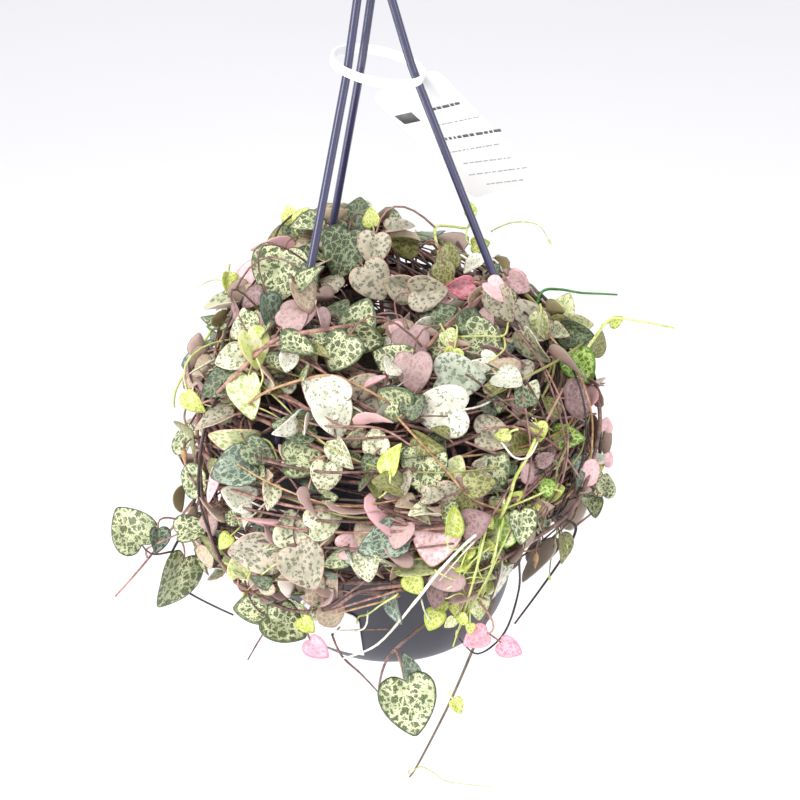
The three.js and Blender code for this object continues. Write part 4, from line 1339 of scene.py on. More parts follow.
def fits(leaf, crowd):
    """Whether a leaf has its place here, clear of the pot, the legs and the other leaves."""
    middle = middle_of(leaf)
    room = math.hypot(middle.x, middle.y) - wall_radius(middle.z - FLOOR_Z)
    in_pot = middle.z < RIM_Z + 6 and room < 0.4 * leaf["size"]
    if in_pot or not in_box(middle, leaf["size"]):
        return False
    if past_left(leaf) or past_lower_right(leaf):
        return False
    if hides_pot(middle) or leg_distance(middle) < LEG_CLEARANCE:
        return False
    return not crowd.meets(leaf) and not crowd.covers_shown(leaf)


def strand_leaves(strand, seed, crowd):
    """Leaves along an inner strand, wherever there is room for one."""
    leaves = []
    for i, place in enumerate(strand[1:]):
        for turn in range(TRIES):
            leaf_seed = 7000 + 211 * seed + 7 * i + turn
            leaf = inner_leaf(place, leaf_seed)
            if fits(leaf, crowd) and not left_open(middle_of(leaf), leaf_seed):
                crowd.add(leaf)
                leaves.append(leaf)
                break
    return leaves


def build_inner(name, seeds, crowd):
    foliage = Foliage()
    for seed in seeds:
        strand = inner_strand(seed)
        path = smoothed([place["point"] for place in strand], steps=3)
        radii = tube_radii(len(path), between(0.4, 0.85, seed, 82), True)
        kind = INNER_COLOURS[int(len(INNER_COLOURS) * draw(seed, 83))]
        add_tube(foliage, path, radii, STRAND_SIDES, kind, seed)
        for i, leaf in enumerate(strand_leaves(strand, seed, crowd)):
            add_leaf(foliage, leaf, 9000 + 50 * seed + i)
    foliage.build(name)


def outer_strand(seed):
    """A fine stem that lies part of the way round on the nest's leaves, its ends tucked in."""
    level = between(0.3, 6.5, seed, 91)
    start = between(-180, 180, seed, 92)
    wind = between(50, 150, seed, 93)
    rise = between(-2.2, 2.2, seed, 94)
    points = []
    steps = int(wind / STRAND_STEP)
    for i in range(steps):
        share = i / (steps - 1)
        here = min(max(level + rise * (share - 0.5), 0.3), 8)
        tucked = TUCK * (2 * share - 1) ** 6
        depth = tucked + between(-3.5, 0.5, 31 * seed + i, 95)
        azimuth = start + wind * share
        points.append(nest_point(azimuth, clear_of_legs(azimuth, here, depth), depth))
    return points


def build_outer():
    foliage = Foliage()
    for seed in OUTER_SEEDS:
        points = outer_strand(seed)
        if any(hides_pot(point) or not in_box(point, 3) for point in points):
            continue
        path = smoothed(points, steps=4)
        kind = OUTER_COLOURS[int(len(OUTER_COLOURS) * draw(seed, 96))]
        radii = tube_radii(len(path), between(0.35, 0.6, seed, 97), True)
        add_tube(foliage, path, radii, STRAND_SIDES, kind, seed)
    foliage.build("outer_stems")


leaf_crowd = Crowd([leaf for vine in vines for leaf in vine["leaves"]])
for group in range(INNER_PIECES):
    first = INNER_SEEDS + STRANDS_EACH * group
    build_inner(f"inner_growth_{group + 1}", range(first, first + STRANDS_EACH), leaf_crowd)
build_outer()

# ---- Loose stems on the front ----

# Stems that lie over the leaves, with both ends tucked in: kind, radius, how far they stand
# off the nest, and places right and up in the front view.
LOOSE_STEMS = [
    ("pinkish", 0.9, 3, [(20, 24), (30, 34), (43, 44), (54, 52)]),
    ("brown", 1.0, 3, [(24, 28), (31, 33), (42, 42), (52, 50)]),
    ("pinkish", 0.9, 3, [(-74, 6), (-60, 19), (-46, 29), (-19, 33), (-1, 35), (16, 31), (30, 24)]),
    ("tan", 0.55, 5, [(-60, 1), (-49, 7), (-26, 12), (-12, 7), (0, 0)]),
    ("pinkish", 0.45, 2, [(-38, 20), (-28, 14), (-18, 6)]),
    ("brown", 0.5, 2, [(-56, -4), (-42, -9), (-27, -16), (6, -16)]),
    ("brown", 0.8, 2, [(-75, 3), (-82, -15), (-83, -36), (-78, -64), (-69, -78)]),
    ("dark", 0.6, 3, [(-73, 8), (-81, -12), (-84, -40), (-76, -66)]),
    ("olive", 0.6, 4, [(50, 2), (64, 9), (78, 16), (90, 24)]),
    ("dark", 0.8, 2, [(71, 44), (87, 24), (94, 0), (94, -29)]),
    ("lime", 0.7, 6, [(65, -20), (61, -28), (56, -36), (53, -45), (49, -53)]),
    ("white", 0.45, 6, [(51, -21), (56, -27), (62, -27), (66, -21)]),
    ("green", 0.5, 5, [(79, -23), (75, -32), (73, -41)]),
    ("lime", 0.45, 5, [(49, -50), (63, -45), (74, -40)]),
    ("brown", 0.9, 4, [(40, -76), (61, -65), (83, -48), (94, -16), (93, 0)]),
    ("brown", 0.8, 4, [(-68, -79), (-46, -91), (-28, -91), (-14, -84), (4, -82)]),
    ("pinkish", 0.6, 3, [(-73, -36), (-40, -46), (0, -49), (18, -51)]),
    ("brown", 0.6, 3, [(-76, -18), (-50, -26), (-26, -31), (10, -31)]),
    ("brown", 0.7, 3, [(-4, -47), (22, -55), (58, -44), (83, -18)]),
    ("pinkish", 0.5, 3, [(0, -52), (24, -59), (52, -50), (78, -28)]),
    ("brown", 0.5, 4, [(38, 9), (64, -9), (91, -9)]),
    ("dark", 0.45, 3, [(2, 64), (22, 52), (30, 44)]),
    ("pinkish", 0.5, 5, [(77, 0), (56, -36), (35, -67)]),
    ("brown", 0.5, 5, [(60, 4), (63, -31), (51, -64)]),
    ("tan", 0.5, 4, [(6, -9), (25, -31), (36, -44), (49, -50)]),
    ("dark", 0.5, 1, [(-38, 84), (-44, 79), (-47, 73), (-48, 68)]),
    ("dark", 0.55, 1, [(-57, 54), (-69, 36), (-73, 18)]),
    ("lime", 0.45, 6, [(34, 27), (44, 27), (53, 27), (55, 33)]),
    ("lime", 0.4, 6, [(53, 26), (53, 21), (47, 16)]),
    ("pinkish", 0.5, 4, [(53, 25), (56, 10), (54, 0)]),
    ("lime", 0.4, 3, [(-57, 22), (-54, 12), (-58, 4)]),
    ("brown", 0.55, 4, [(-28, -90), (-11, -79), (-1, -70), (10, -61)]),
    ("pinkish", 0.5, 4, [(-28, -92), (-12, -88), (3, -84)]),
    ("tan", 0.45, 4, [(-28, -94), (-14, -91), (2, -87)]),
    ("brown", 0.35, 3, [(-28, -82), (-15, -85), (-2, -86)]),
    ("lime", 0.4, 5, [(2, -86), (-5, -90), (-11, -94), (-15, -95), (-16, -98)]),
    ("white", 0.4, 5, [(-11, -94), (-12, -99), (-15, -101), (-24, -101)]),
    ("brown", 0.35, 4, [(-24, -101), (-12, -101), (-2, -101)]),
    ("brown", 0.5, 3, [(52, 36), (66, 20), (76, -6), (78, -30), (66, -52)]),
    ("pinkish", 0.45, 3, [(58, 30), (72, 10), (80, -14), (76, -40), (60, -60)]),
    ("brown", 0.5, 2, [(46, 22), (60, 10), (70, -10), (72, -34), (58, -56)]),
    ("dark", 0.45, 2, [(64, 36), (80, 18), (88, -6), (86, -30), (74, -52)]),
    ("brown", 0.45, 3, [(40, 2), (54, -6), (66, -20), (70, -36)]),
    ("tan", 0.45, 3, [(70, 30), (84, 12), (91, -10), (89, -34)]),
    ("pinkish", 0.5, 3, [(44, -14), (58, -14), (74, -22), (84, -36)]),
    ("brown", 0.5, 4, [(36, -20), (52, -26), (68, -24), (86, -14)]),
    ("brown", 0.55, 3, [(-70, -44), (-40, -51), (-5, -54), (24, -56), (52, -48)]),
    ("pinkish", 0.5, 3, [(-66, -50), (-30, -57), (6, -58), (36, -56)]),
    ("dark", 0.5, 2, [(-74, -30), (-48, -40), (-12, -44), (20, -45)]),
    ("brown", 0.5, 3, [(-60, -60), (-30, -64), (4, -66), (30, -64)]),
    ("tan", 0.4, 4, [(-72, -22), (-50, -36), (-22, -46), (4, -44)]),
    ("pinkish", 0.45, 3, [(-50, -2), (-30, -10), (-4, -12), (10, -20)]),
    ("lime", 0.35, 6, [(44, -66), (36, -72), (30, -80), (24, -84)]),
    ("lime", 0.3, 6, [(48, -72), (40, -76), (33, -77), (26, -74)]),
    ("lime", 0.3, 7, [(40, -62), (38, -74), (41, -84), (36, -92)]),
    ("lime", 0.35, 7, [(34, -66), (30, -78), (33, -90), (28, -98)]),
    ("lime", 0.3, 7, [(20, -76), (28, -80), (36, -79), (44, -80)]),
    ("lime", 0.3, 7, [(24, -88), (30, -86), (36, -90), (42, -88)]),
    ("white", 0.4, 8, [(13, -89), (14, -93), (16, -97)]),
]

# Stems that hang free from a tucked end, with the kind of their leaves and buds.
TENDRILS = [
    ("white", 0.65, 8, [(38, -60), (32, -65), (20, -77), (10, -89), (-7, -107), (-23, -113)]),
    ("lime", 0.55, 9, [(42, -58), (40, -66), (36, -80), (31, -95), (26, -109)]),
    ("lime", 0.5, 10, [(48, -58), (44, -75), (38, -86), (33, -94), (28, -103)]),
    ("lime", 0.4, 8, [(50, -54), (47, -64), (44, -73)]),
    ("lime", 0.4, 8, [(54, -56), (47, -70), (39, -87)]),
    ("white", 0.4, 8, [(43, -57), (32, -68), (21, -80)]),
    ("dark", 0.5, 6, [(64, -56), (57, -69), (56, -85), (49, -104), (37, -113), (29, -106)]),
    ("lime", 0.3, 1, [(50, 74), (58, 77), (66, 77), (71, 75), (74, 70)]),
    ("brown", 0.45, 2, [(-50, -92), (-58, -102), (-65, -113)]),
    ("brown", 0.5, 1, [(-27, -104), (-23, -113), (-15, -121), (-7, -130)]),
    ("lime", 0.25, 1, [(5, -166), (10, -163), (16, -166), (22, -170), (41, -173)]),
    ("dark", 0.35, 2, [(-78, -18), (-84, -14), (-88, -15), (-90, -18)]),
    ("dark", 0.35, 2, [(72, -46), (75, -57), (77, -64)]),
    ("green", 0.35, 2, [(74, -60), (71, -72), (70, -79)]),
    ("lime", 0.3, 2, [(-60, 47), (-66, 53), (-74, 56), (-82, 53)]),
    ("brown", 0.4, 3, [(70, -50), (66, -62), (64, -70)]),
    ("lime", 0.3, 3, [(-50, -70), (-57, -75), (-64, -82)]),
]

# Small swollen buds: place in the view, length, direction of the tip, and kind.
BUDS = [
    (-90, -22, 7, -85, "tan"), (78, -67, 3, -70, "lime"), (70, -81, 3, -80, "lime"),
    (64, -73, 7, -95, "tan"), (75, 68, 3, -60, "lime"), (28, -104, 3, -110, "lime"),
    (56, 34, 3, 60, "lime"), (46, 15, 3, -120, "white"), (-66, -84, 4, -100, "lime"),
]
BUD_STAND = 2
BUD_SIDES = 10
BUD_SHARES = (0, 0.12, 0.3, 0.55, 0.8, 1)
BUD_RADII = np.array([0.07, 0.15, 0.2, 0.17, 0.1, 0.03])
LOOSE_SEEDS = 4000
TENDRIL_SEEDS = 4100
BUD_SEEDS = 4200


def view_path(places, stand, free_end):
    """A smooth path over the nest through places in the view, its tucked ends inside it."""
    points = [hanging_at(*place) + TO_EYE * stand for place in places]
    start = points[0] - TO_EYE * (TUCK + stand)
    end = [] if free_end else [points[-1] - TO_EYE * (TUCK + stand)]
    return smoothed([start, *points, *end], steps=6)


def add_bud(foliage, row, seed):
    right, up, size, turn, kind = row
    middle = hanging_at(right, up) + TO_EYE * BUD_STAND
    way = VIEW_RIGHT * math.cos(math.radians(turn)) + VIEW_UP * math.sin(math.radians(turn))
    path = [middle + way * (size * (share - 0.5)) for share in BUD_SHARES]
    add_tube(foliage, path, size * BUD_RADII, BUD_SIDES, kind, seed)


def build_loose():
    foliage = Foliage()
    for rows, seeds, free_end in ((LOOSE_STEMS, LOOSE_SEEDS, False),
                                  (TENDRILS, TENDRIL_SEEDS, True)):
        for seed, (kind, radius, stand, places) in enumerate(rows, seeds):
            path = view_path(places, stand, free_end)
            radii = tube_radii(len(path), radius, free_end)
            add_tube(foliage, path, radii, STEM_SIDES, kind, seed)
    for seed, row in enumerate(BUDS, BUD_SEEDS):
        add_bud(foliage, row, seed)
    foliage.build("loose_stems")


LONGEST_STALK = 16
TINY_SEEDS = 200
LEG_SEEDS = 300
YOUNG_SEEDS = 6000


def leg_seen_at(right, up):
    """The near side of the leg seen about at a place in the view."""
    nearest = []
    for name, azimuth in LEG_AZIMUTHS.items():
        for height in range(-6, 90, 2):
            z = RIM_Z + height
            beside, above, reach = place_in_view(polar(azimuth, leg_radius_at(name, z), z))
            nearest.append((math.hypot(beside - right, above - up), reach))
    return EYE + view_ray(right, up) * (min(nearest)[1] - LEG_RADIUS)


def build_tiny():
    foliage = Foliage()
    for index, row in enumerate(TINY_LEAVES):
        leaf = shown_leaf(row, TINY_SEEDS + index, stand=4)
        ends = [foot_on(vine, leaf, nearest=1.0) for vine in vines]
        foot, far = min(ends, key=lambda end: end[1])
        leaf["foot"] = foot if far < LONGEST_STALK else leaf["base"] - leaf["axis"] * 4
        add_leaf(foliage, leaf, YOUNG_SEEDS + index)
    for index, row in enumerate(LEG_LEAVES):
        leaf = shown_leaf(row, LEG_SEEDS + index, stand=5, seen_at=leg_seen_at)
        leaf["foot"] = leaf["base"] - TO_EYE * 12 - leaf["axis"] * 3
        add_leaf(foliage, leaf, YOUNG_SEEDS + len(TINY_LEAVES) + index)
    foliage.build("young_leaves")


build_loose()
build_tiny()

# ---- Hard parts ----


def new_mesh(name, shape, material):
    """A mesh of the points and faces of a shape."""
    points, faces = shape
    mesh = bpy.data.meshes.new(name)
    mesh.from_pydata([tuple(Vector(p) * MM) for p in points], [], faces)
    mesh.materials.append(material)
    return mesh


def new_piece(name, shape, material, slot, *nodes):
    return add_piece(name, new_mesh(name, shape, material), slot, *nodes)


def lathe(profile, sides, z=0.0):
    """Points and faces of a shape turned round the upright axis, closed at the axis."""
    points = []
    for radius, height in profile:
        points += [polar(360 * k / sides, max(radius, 0.001), z + height) for k in range(sides)]
    faces = ring_faces(len(profile), sides)
    faces.append(tuple(reversed(range(sides))))
    faces.append(tuple(range(len(points) - sides, len(points))))
    return points, faces


def sweep(path, radius, sides):
    """Points and faces of a round rod through the points."""
    radii = np.full(len(path), float(radius))
    return tube_points(path, radii, sides), tube_faces(len(path), sides)


def joined(*shapes):
    points, faces = [], []
    for more_points, more_faces in shapes:
        start = len(points)
        points += [Vector(p) for p in more_points]
        faces += [tuple(start + i for i in face) for face in more_faces]
    return points, faces


def moved(shape, place):
    points, faces = shape
    return [Vector(p) + place for p in points], faces


def combine(piece, shape, operation):
    """Joins a closed shape to a piece, or cuts it out of the piece."""
    tool = linked("tool", new_mesh("tool", shape, piece.data.materials[0]))
    boolean = piece.modifiers.new("boolean", "BOOLEAN")
    boolean.operation = operation
    boolean.solver = "MANIFOLD"
    boolean.object = tool
    graph = bpy.context.evaluated_depsgraph_get()
    result = bpy.data.meshes.new_from_object(piece.evaluated_get(graph))
    piece.modifiers.clear()
    piece.data = result
    bpy.data.objects.remove(tool)


def drill(piece, place, radius, height):
    half = height / 2
    bit = lathe([(0, -half), (radius, -half), (radius, half), (0, half)], sides=24)
    combine(piece, moved(bit, place), "DIFFERENCE")


def smooth_but_corners(piece, degrees=40):
    piece.data.shade_smooth()
    piece.data.set_sharp_from_angle(angle=math.radians(degrees))


EAR_DISC = [(0, -1.15), (4.8, -1.15), (5, -0.95), (5, 0.95), (4.8, 1.15), (0, 1.15)]
EAR_DROP = 1.2
FLANGE_HEIGHT = 2.4
FLOOR_HEIGHT = 2.4
BORE = LEG_RADIUS + GAP
DRAINS = dict(count=6, first=30, ring=0.62 * BASE_RADIUS, radius=3.5)
DRILL_LENGTH = 8


def pot_profile():
    """The pot's section: under its base, up its outside, over the flange and down inside."""
    under = POT_HEIGHT - FLANGE_HEIGHT
    wall = smoothed([Vector((r, z, 0)) for r, z in POT_PROFILE], steps=4)
    outside = [tuple(p)[:2] for p in wall]
    flange = [
        (RIM_RADIUS, under), (FLANGE_RADIUS - 0.4, under), (FLANGE_RADIUS, under + 0.4),
        (FLANGE_RADIUS, POT_HEIGHT - 0.5), (FLANGE_RADIUS - 0.5, POT_HEIGHT),
        (RIM_RADIUS - WALL + 0.4, POT_HEIGHT), (RIM_RADIUS - WALL, POT_HEIGHT - 0.4),
    ]
    inside = [(wall_radius(z) - WALL - lift, z) for z, lift in
              [(92, 0), (65, 0), (42, 0), (24, 0), (14, 0.3), (7, 1.2)]]
    foot = [(0, 0.8), (BASE_RADIUS - 3, 0.8), (BASE_RADIUS - 2.2, 0)]
    floor = [(BASE_RADIUS - 1, FLOOR_HEIGHT), (0, FLOOR_HEIGHT)]
    return [*foot, *outside, *flange, *inside, *floor]


def build_pot():
    shell = lathe(pot_profile(), sides=120, z=FLOOR_Z)
    pot = new_piece("nursery_pot", shell, POT_MATERIAL, "pot_plastic", "pot")
    for azimuth in LEG_AZIMUTHS.values():
        eye = polar(azimuth, EAR_RADIUS, RIM_Z - EAR_DROP)
        combine(pot, moved(lathe(EAR_DISC, sides=40), eye), "UNION")
        drill(pot, eye, BORE, DRILL_LENGTH)
    for i in range(DRAINS["count"]):
        azimuth = 360 / DRAINS["count"] * i + DRAINS["first"]
        drill(pot, polar(azimuth, DRAINS["ring"], FLOOR_Z), DRAINS["radius"], DRILL_LENGTH)
    smooth_but_corners(pot, degrees=35)


def leg_points(name):
    azimuth = LEG_AZIMUTHS[name]
    return [
        polar(HUB_AZIMUTHS[name], HUB_LEG_RADIUS, HUB_BOTTOM + LEG_SOCKET),
        polar(HUB_AZIMUTHS[name], HUB_LEG_RADIUS, HUB_BOTTOM - 1),
        polar(azimuth, LEG_WAISTS[name], -WAIST_DROP),
        polar(azimuth, EAR_RADIUS, LEG_BEND_Z),
        polar(azimuth, EAR_RADIUS, RIM_Z - 5),
    ]


def rounded_corners(points, radius, steps=5):
    """The path with its corners eased over the given length."""
    path = [points[0]]
    for before, corner, after in zip(points, points[1:], points[2:]):
        reach = min(radius, (before - corner).length / 2, (after - corner).length / 2)
        a = corner + (before - corner).normalized() * reach
        b = corner + (after - corner).normalized() * reach
        for k in range(steps + 1):
            t = k / steps
            path.append(a.lerp(corner, t).lerp(corner.lerp(b, t), t))
    return [*path, points[-1]]


BARB_HEIGHT = 4
BARB = [(0, 0), (1.2, 0), (1.5, 0.3), (2.9, 3.6), (3, 3.8), (2.9, BARB_HEIGHT), (0, BARB_HEIGHT)]
LEG_CORNER = 4


def build_leg(name):
    """A bent rod from the hub to its ear, with the barb that snaps in under the ear."""
    shaft = sweep(rounded_corners(leg_points(name), LEG_CORNER), LEG_RADIUS, sides=16)
    foot = polar(LEG_AZIMUTHS[name], EAR_RADIUS, RIM_Z - FLANGE_HEIGHT - GAP - BARB_HEIGHT)
    shape = joined(shaft, moved(lathe(BARB, sides=24), foot))
    leg = new_piece(f"hanger_{name}", shape, HANGER_MATERIAL, "hanger_plastic", name)
    smooth_but_corners(leg)


HOOK_STEPS = 59
HOOK_START = -90
HOOK_TURN = 290
HUB_PROFILE = [
    (0, HUB_BOTTOM), (HUB_RADIUS - 0.4, HUB_BOTTOM), (HUB_RADIUS, HUB_BOTTOM + 0.4),
    (HUB_RADIUS, HUB_BOTTOM + 7.6), (HUB_RADIUS - 0.4, HUB_BOTTOM + 8.1), (3.4, HUB_TOP - 0.3),
    (3, HUB_TOP), (0, HUB_TOP),
]


def build_hook():
    """The hook's rod, bent round the origin's bore, on the hub that the legs plug into."""
    radius = HOOK_INSIDE_RADIUS + HOOK_ROD_RADIUS
    arc = [Vector((0, 0, HUB_TOP - 2))]
    for step in range(HOOK_STEPS + 1):
        turn = math.radians(HOOK_START + HOOK_TURN * step / HOOK_STEPS)
        arc.append(Vector((radius * math.cos(turn), 0,
                           -HOOK_INSIDE_RADIUS + radius * math.sin(turn))))
    hub = lathe(HUB_PROFILE, sides=48)
    hook = new_piece("hanger_hook", hub, HANGER_MATERIAL, "hanger_plastic", "hook")
    combine(hook, sweep(arc, HOOK_ROD_RADIUS, sides=20), "UNION")
    for azimuth in HUB_AZIMUTHS.values():
        socket = polar(azimuth, HUB_LEG_RADIUS, HUB_BOTTOM)
        drill(hook, socket, BORE, 2 * (LEG_SOCKET + GAP))
    smooth_but_corners(hook)


# ---- Paper: tag and sticker ----


def rotation(degrees, axis):
    return Matrix.Rotation(math.radians(degrees), 3, axis)


STRAP_WIDTH = 3.6
STRAP_LEAN = rotation(13, "Y")
STRAP_PLACE = Vector((0, 0, -WAIST_DROP - 2))
STRAP_SIDES = 96
PLATE_WIDTH = 35
PLATE_HEIGHT = 72
PLATE_CORNER = 4
PLATE_CORNER_STEPS = 6
PLATE_PLACE = Vector((33.4, 14, -WAIST_DROP - 37.5))
PLATE_TURN = rotation(-38, "Y") @ rotation(14, "X") @ rotation(-28, "Z")


def strap_shape():
    """The tag's flat band in a ring round the hanger's legs."""
    section = [(0, 0), (TAG_PAPER, 0), (TAG_PAPER, STRAP_WIDTH), (0, STRAP_WIDTH)]
    points, faces = [], []
    for k in range(STRAP_SIDES):
        a, b = 4 * k, 4 * ((k + 1) % STRAP_SIDES)
        for j, (lift, up) in enumerate(section):
            ring = polar(360 * k / STRAP_SIDES, TAG_RADIUS + lift, up)
            points.append(STRAP_LEAN @ (ring + Vector((TAG_CENTRE, 0, 0))) + STRAP_PLACE)
            m = (j + 1) % 4
            faces.append((a + j, b + j, b + m, a + m))
    return points, faces


def plate_outline():
    """The plate's rectangle with rounded corners, round its middle."""
    outline = []
    for right, up, start in [(1, 1, 0), (-1, 1, 90), (-1, -1, 180), (1, -1, 270)]:
        x = right * (PLATE_WIDTH / 2 - PLATE_CORNER)
        z = up * (PLATE_HEIGHT / 2 - PLATE_CORNER)
        for k in range(PLATE_CORNER_STEPS + 1):
            turn = math.radians(start + 90 * k / PLATE_CORNER_STEPS)
            outline.append((x + PLATE_CORNER * math.cos(turn), z + PLATE_CORNER * math.sin(turn)))
    return outline


def plate_shape(outline, near, far):
    """A flat plate from one outline, between two distances along its face's normal."""
    count = len(outline)
    flat = [Vector((x, y, z)) for y in (near, far) for x, z in outline]
    faces = [tuple(range(count)), tuple(reversed(range(count, 2 * count)))]
    faces += [(k, k + count, (k + 1) % count + count, (k + 1) % count) for k in range(count)]
    return [PLATE_TURN @ point + PLATE_PLACE for point in flat], faces


# Plain marks on the tag: a dark block, and broken rule lines, each with its ends' places right
# and up in the front view, its height and how dark it is.
MARK_BLOCK = [(8, 126.5), (12.6, 122.7), (19.7, 124), (15.6, 128)]
MARK_LINES = [
    ((23.5, 128), (36.8, 130.7), 1.5, "dark"), ((25.7, 121.3), (43.5, 124.4), 0.6, "faint"),
    ((30.6, 115), (52.4, 117.8), 1.6, "dark"), ((32, 109.3), (55, 112.5), 0.7, "faint"),
    ((38.2, 104.2), (59.6, 106.2), 0.7, "faint"), ((40.4, 99), (65, 101.4), 0.7, "faint"),
    ((48.2, 94.7), (65, 96.2), 0.7, "faint"),
]


def on_plate(right, up):
    """The place across and up the tag's plate that is seen at a place in the view."""
    ray = view_ray(right, up)
    face = PLATE_TURN @ Vector((0, 1, 0))
    point = EYE + ray * ((PLATE_PLACE - EYE).dot(face) / ray.dot(face))
    flat = PLATE_TURN.inverted() @ (point - PLATE_PLACE)
    return flat.x, flat.z


def dashes(start, end, height, seed):
    """Outlines of a broken line's dashes, each of its own length."""
    way = (end - start).normalized()
    over = Vector((-way.y, way.x)) * height
    outlines = []
    walked = 0
    while walked < (end - start).length:
        a = start + way * walked
        b = a + way * between(0.7, 3.4, 50 * seed + len(outlines), 98)
        outlines.append([tuple(a), tuple(b), tuple(b + over), tuple(a + over)])
        walked += (b - a).length + between(0.4, 1.0, 50 * seed + len(outlines), 99)
    return outlines


MARK_SINKS = 0.05
MARK_STANDS = 0.06


def build_tag():
    half = TAG_PAPER / 2
    shape = joined(strap_shape(), plate_shape(plate_outline(), -half, half))
    smooth_but_corners(new_piece("plant_tag", shape, PAPER_MATERIAL, "paper", "tag"))
    outlines = dict(dark=[[on_plate(*place) for place in MARK_BLOCK]], faint=[])
    for seed, (start, end, height, look) in enumerate(MARK_LINES):
        outlines[look] += dashes(Vector(on_plate(*start)), Vector(on_plate(*end)), height, seed)
    for look, material in (("dark", PRINT_MATERIAL), ("faint", FAINT_MATERIAL)):
        marks = [plate_shape(outline, -half - MARK_STANDS, -half + MARK_SINKS)
                 for outline in outlines[look]]
        new_piece(f"tag_marks_{look}", joined(*marks), material, "paper")


# The sticker's sides and ends round and up the pot's wall, its faces' distances from the wall,
# and the share of its width and height that an upper corner takes.
STICKER = dict(start=-136, end=-105, low=9, high=36)
STICKER_FACES = (0.5, 1.1)
STICKER_CORNER = 0.22
STICKER_COLUMNS = 28
STICKER_ROWS = 18


def sticker_points(lift):
    """One face of the sticker, bent to the wall, row by row."""
    points = []
    for j in range(STICKER_ROWS + 1):
        v = j / STICKER_ROWS
        over = max(v - (1 - STICKER_CORNER), 0)
        inset = STICKER_CORNER - math.sqrt(max(STICKER_CORNER**2 - over**2, 0))
        z = STICKER["low"] + (STICKER["high"] - STICKER["low"]) * v
        for i in range(STICKER_COLUMNS + 1):
            u = inset + (1 - 2 * inset) * i / STICKER_COLUMNS
            azimuth = STICKER["start"] + (STICKER["end"] - STICKER["start"]) * u
            points.append(polar(azimuth, wall_radius(z) + lift, FLOOR_Z + z))
    return points


def build_sticker():
    """A blank sticker with its upper corners rounded."""
    columns, rows = STICKER_COLUMNS, STICKER_ROWS
    points = [point for lift in STICKER_FACES for point in sticker_points(lift)]
    wide = columns + 1
    sheet = wide * (rows + 1)
    faces = []
    for j in range(rows):
        for i in range(columns):
            a = j * wide + i
            b = a + sheet
            faces += [(a, a + wide, a + wide + 1, a + 1), (b, b + 1, b + wide + 1, b + wide)]
    edge = [*range(columns), *range(columns, rows * wide + columns, wide),
            *range(rows * wide + columns, rows * wide, -1), *range(rows * wide, 0, -wide)]
    for a, b in zip(edge, edge[1:] + edge[:1]):
        faces.append((a, b, b + sheet, a + sheet))
    sticker = new_piece("pot_sticker", (points, faces), STICKER_PAINTED_SHADE_MATERIAL, "paper", "pot_label")
    smooth_but_corners(sticker)


CRUMBS = 420
CRUMBS_RADIUS = 57
CRUMBS_DOME = 3
CRUMB_WAYS = [Vector(way).normalized() for way in [
    (0, 0, 1), (1, 0, 0.4), (0.3, 0.95, 0.4), (-0.8, 0.6, 0.4), (-0.8, -0.6, 0.4),
    (0.3, -0.95, 0.4), (0, 0, -0.8),
]]
CRUMB_FACES = ([(0, k + 1, (k + 1) % 5 + 1) for k in range(5)]
               + [(6, (k + 1) % 5 + 1, k + 1) for k in range(5)])


def build_soil_top():
    """Loose crumbs of potting soil on the packed soil's surface."""
    points, faces = [], []
    for i in range(CRUMBS):
        radius = CRUMBS_RADIUS * math.sqrt(draw(i, 91))
        azimuth = 360 * draw(i, 92)
        size = between(0.8, 2.4, i, 93)
        sunk = CRUMBS_DOME * (radius / CRUMBS_RADIUS) ** 2
        centre = polar(azimuth, radius, RIM_Z - SOIL_DROP + CRUMBS_DOME - sunk)
        start = len(points)
        for k, way in enumerate(CRUMB_WAYS):
            points.append(centre + way * size * between(0.7, 1.25, 20 * i + k, 94))
        faces += [tuple(start + c for c in face) for face in CRUMB_FACES]
    new_piece("soil_crumbs", (points, faces), SOIL_MATERIAL, "soil")
    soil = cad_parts["soil"].data.materials
    soil.clear()
    soil.append(SOIL_MATERIAL)


build_pot()
for leg_name in LEG_AZIMUTHS:
    build_leg(leg_name)
build_hook()
build_tag()
build_sticker()
build_soil_top()

# ---- Floor, light and camera ----

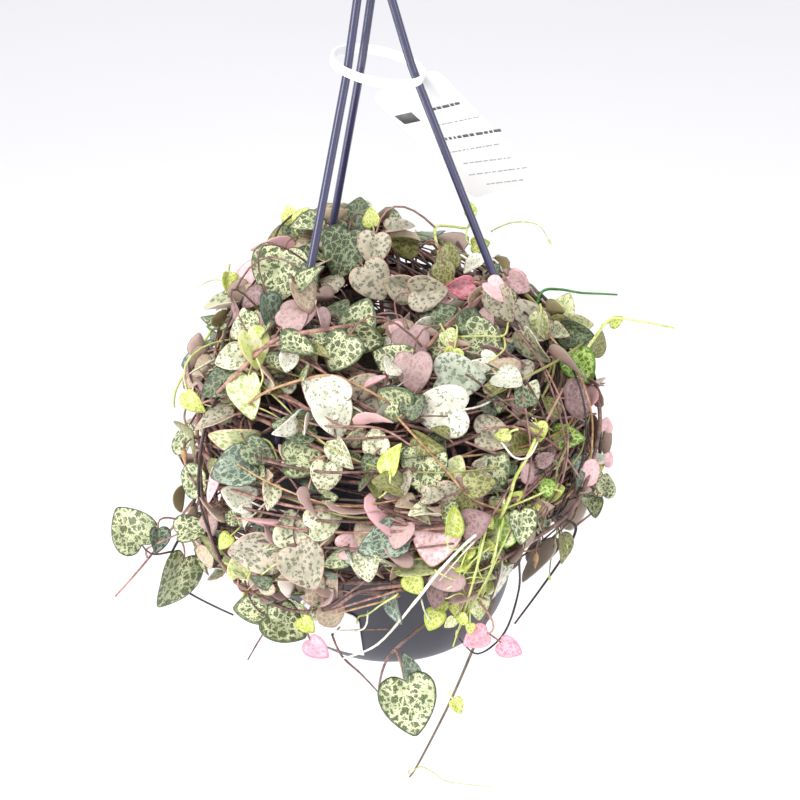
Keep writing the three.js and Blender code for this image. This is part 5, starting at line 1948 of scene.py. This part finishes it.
FLOOR_DROP = 700.0
FLOOR_REACH = 6000.0
CAMERA_ROLL = math.radians(1.886)
CAMERA_SENSOR = 36
CAMERA_LENS = 81
WORLD_COLOUR = (0.97, 0.97, 1.0, 1)
WORLD_STRENGTH = 0.93

# Place and target in metres, size, power and colour.
LIT_MIDDLE = (0, 0, -0.22)
LIGHTS = {
    "key": ((-0.5, -0.9, 1.1), LIT_MIDDLE, 0.8, 21, (1, 0.98, 0.94)),
    "side": ((-1.1, -0.9, 0.1), LIT_MIDDLE, 0.7, 8, (1, 0.99, 0.97)),
    "fill": ((1.2, -0.8, 0), LIT_MIDDLE, 0.8, 4, (1, 0.98, 0.95)),
    "low": ((-0.7, -0.3, -0.5), (0, 0, -0.12), 0.35, 1.6, (0.97, 0.97, 1)),
    "back": ((0.2, 1.1, 0.8), LIT_MIDDLE, 0.9, 3, (1, 1, 1)),
}


def build_stage():
    far, z = FLOOR_REACH, -FLOOR_DROP
    corners = [(-far, -far, z), (far, -far, z), (far, far, z), (-far, far, z)]
    floor = linked("floor", new_mesh("floor", (corners, [(0, 1, 2, 3)]), floor_material()))


def aimed(name, data, place, way):
    """A lamp or camera at a place, turned to look along a way."""
    made = linked(name, data)
    made.location = place
    made.rotation_mode = "QUATERNION"
    made.rotation_quaternion = way.to_track_quat("-Z", "Y")
    return made


def build_lights():
    world = bpy.data.worlds.new("studio")
    bpy.context.scene.world = world
    world.use_nodes = True
    sky = world.node_tree.nodes["Background"].inputs
    sky["Color"].default_value = WORLD_COLOUR
    sky["Strength"].default_value = WORLD_STRENGTH
    for name, (place, target, size, power, colour) in LIGHTS.items():
        light = bpy.data.lights.new(name, "AREA")
        light.size = size
        light.energy = power
        light.color = colour
        aimed(name, light, place, Vector(target) - Vector(place))


def build_camera():
    data = bpy.data.cameras.new("camera")
    data.sensor_width = CAMERA_SENSOR
    data.lens = CAMERA_LENS
    target = VIEW_CENTRE + VIEW_RIGHT * VIEW_OFFSET
    camera = aimed("camera", data, EYE * MM, target - EYE)
    camera.rotation_quaternion @= Quaternion((0, 0, 1), -CAMERA_ROLL)
    bpy.context.scene.camera = camera


build_stage()
build_lights()
build_camera()
bpy.context.scene.view_settings.view_transform = "Standard"
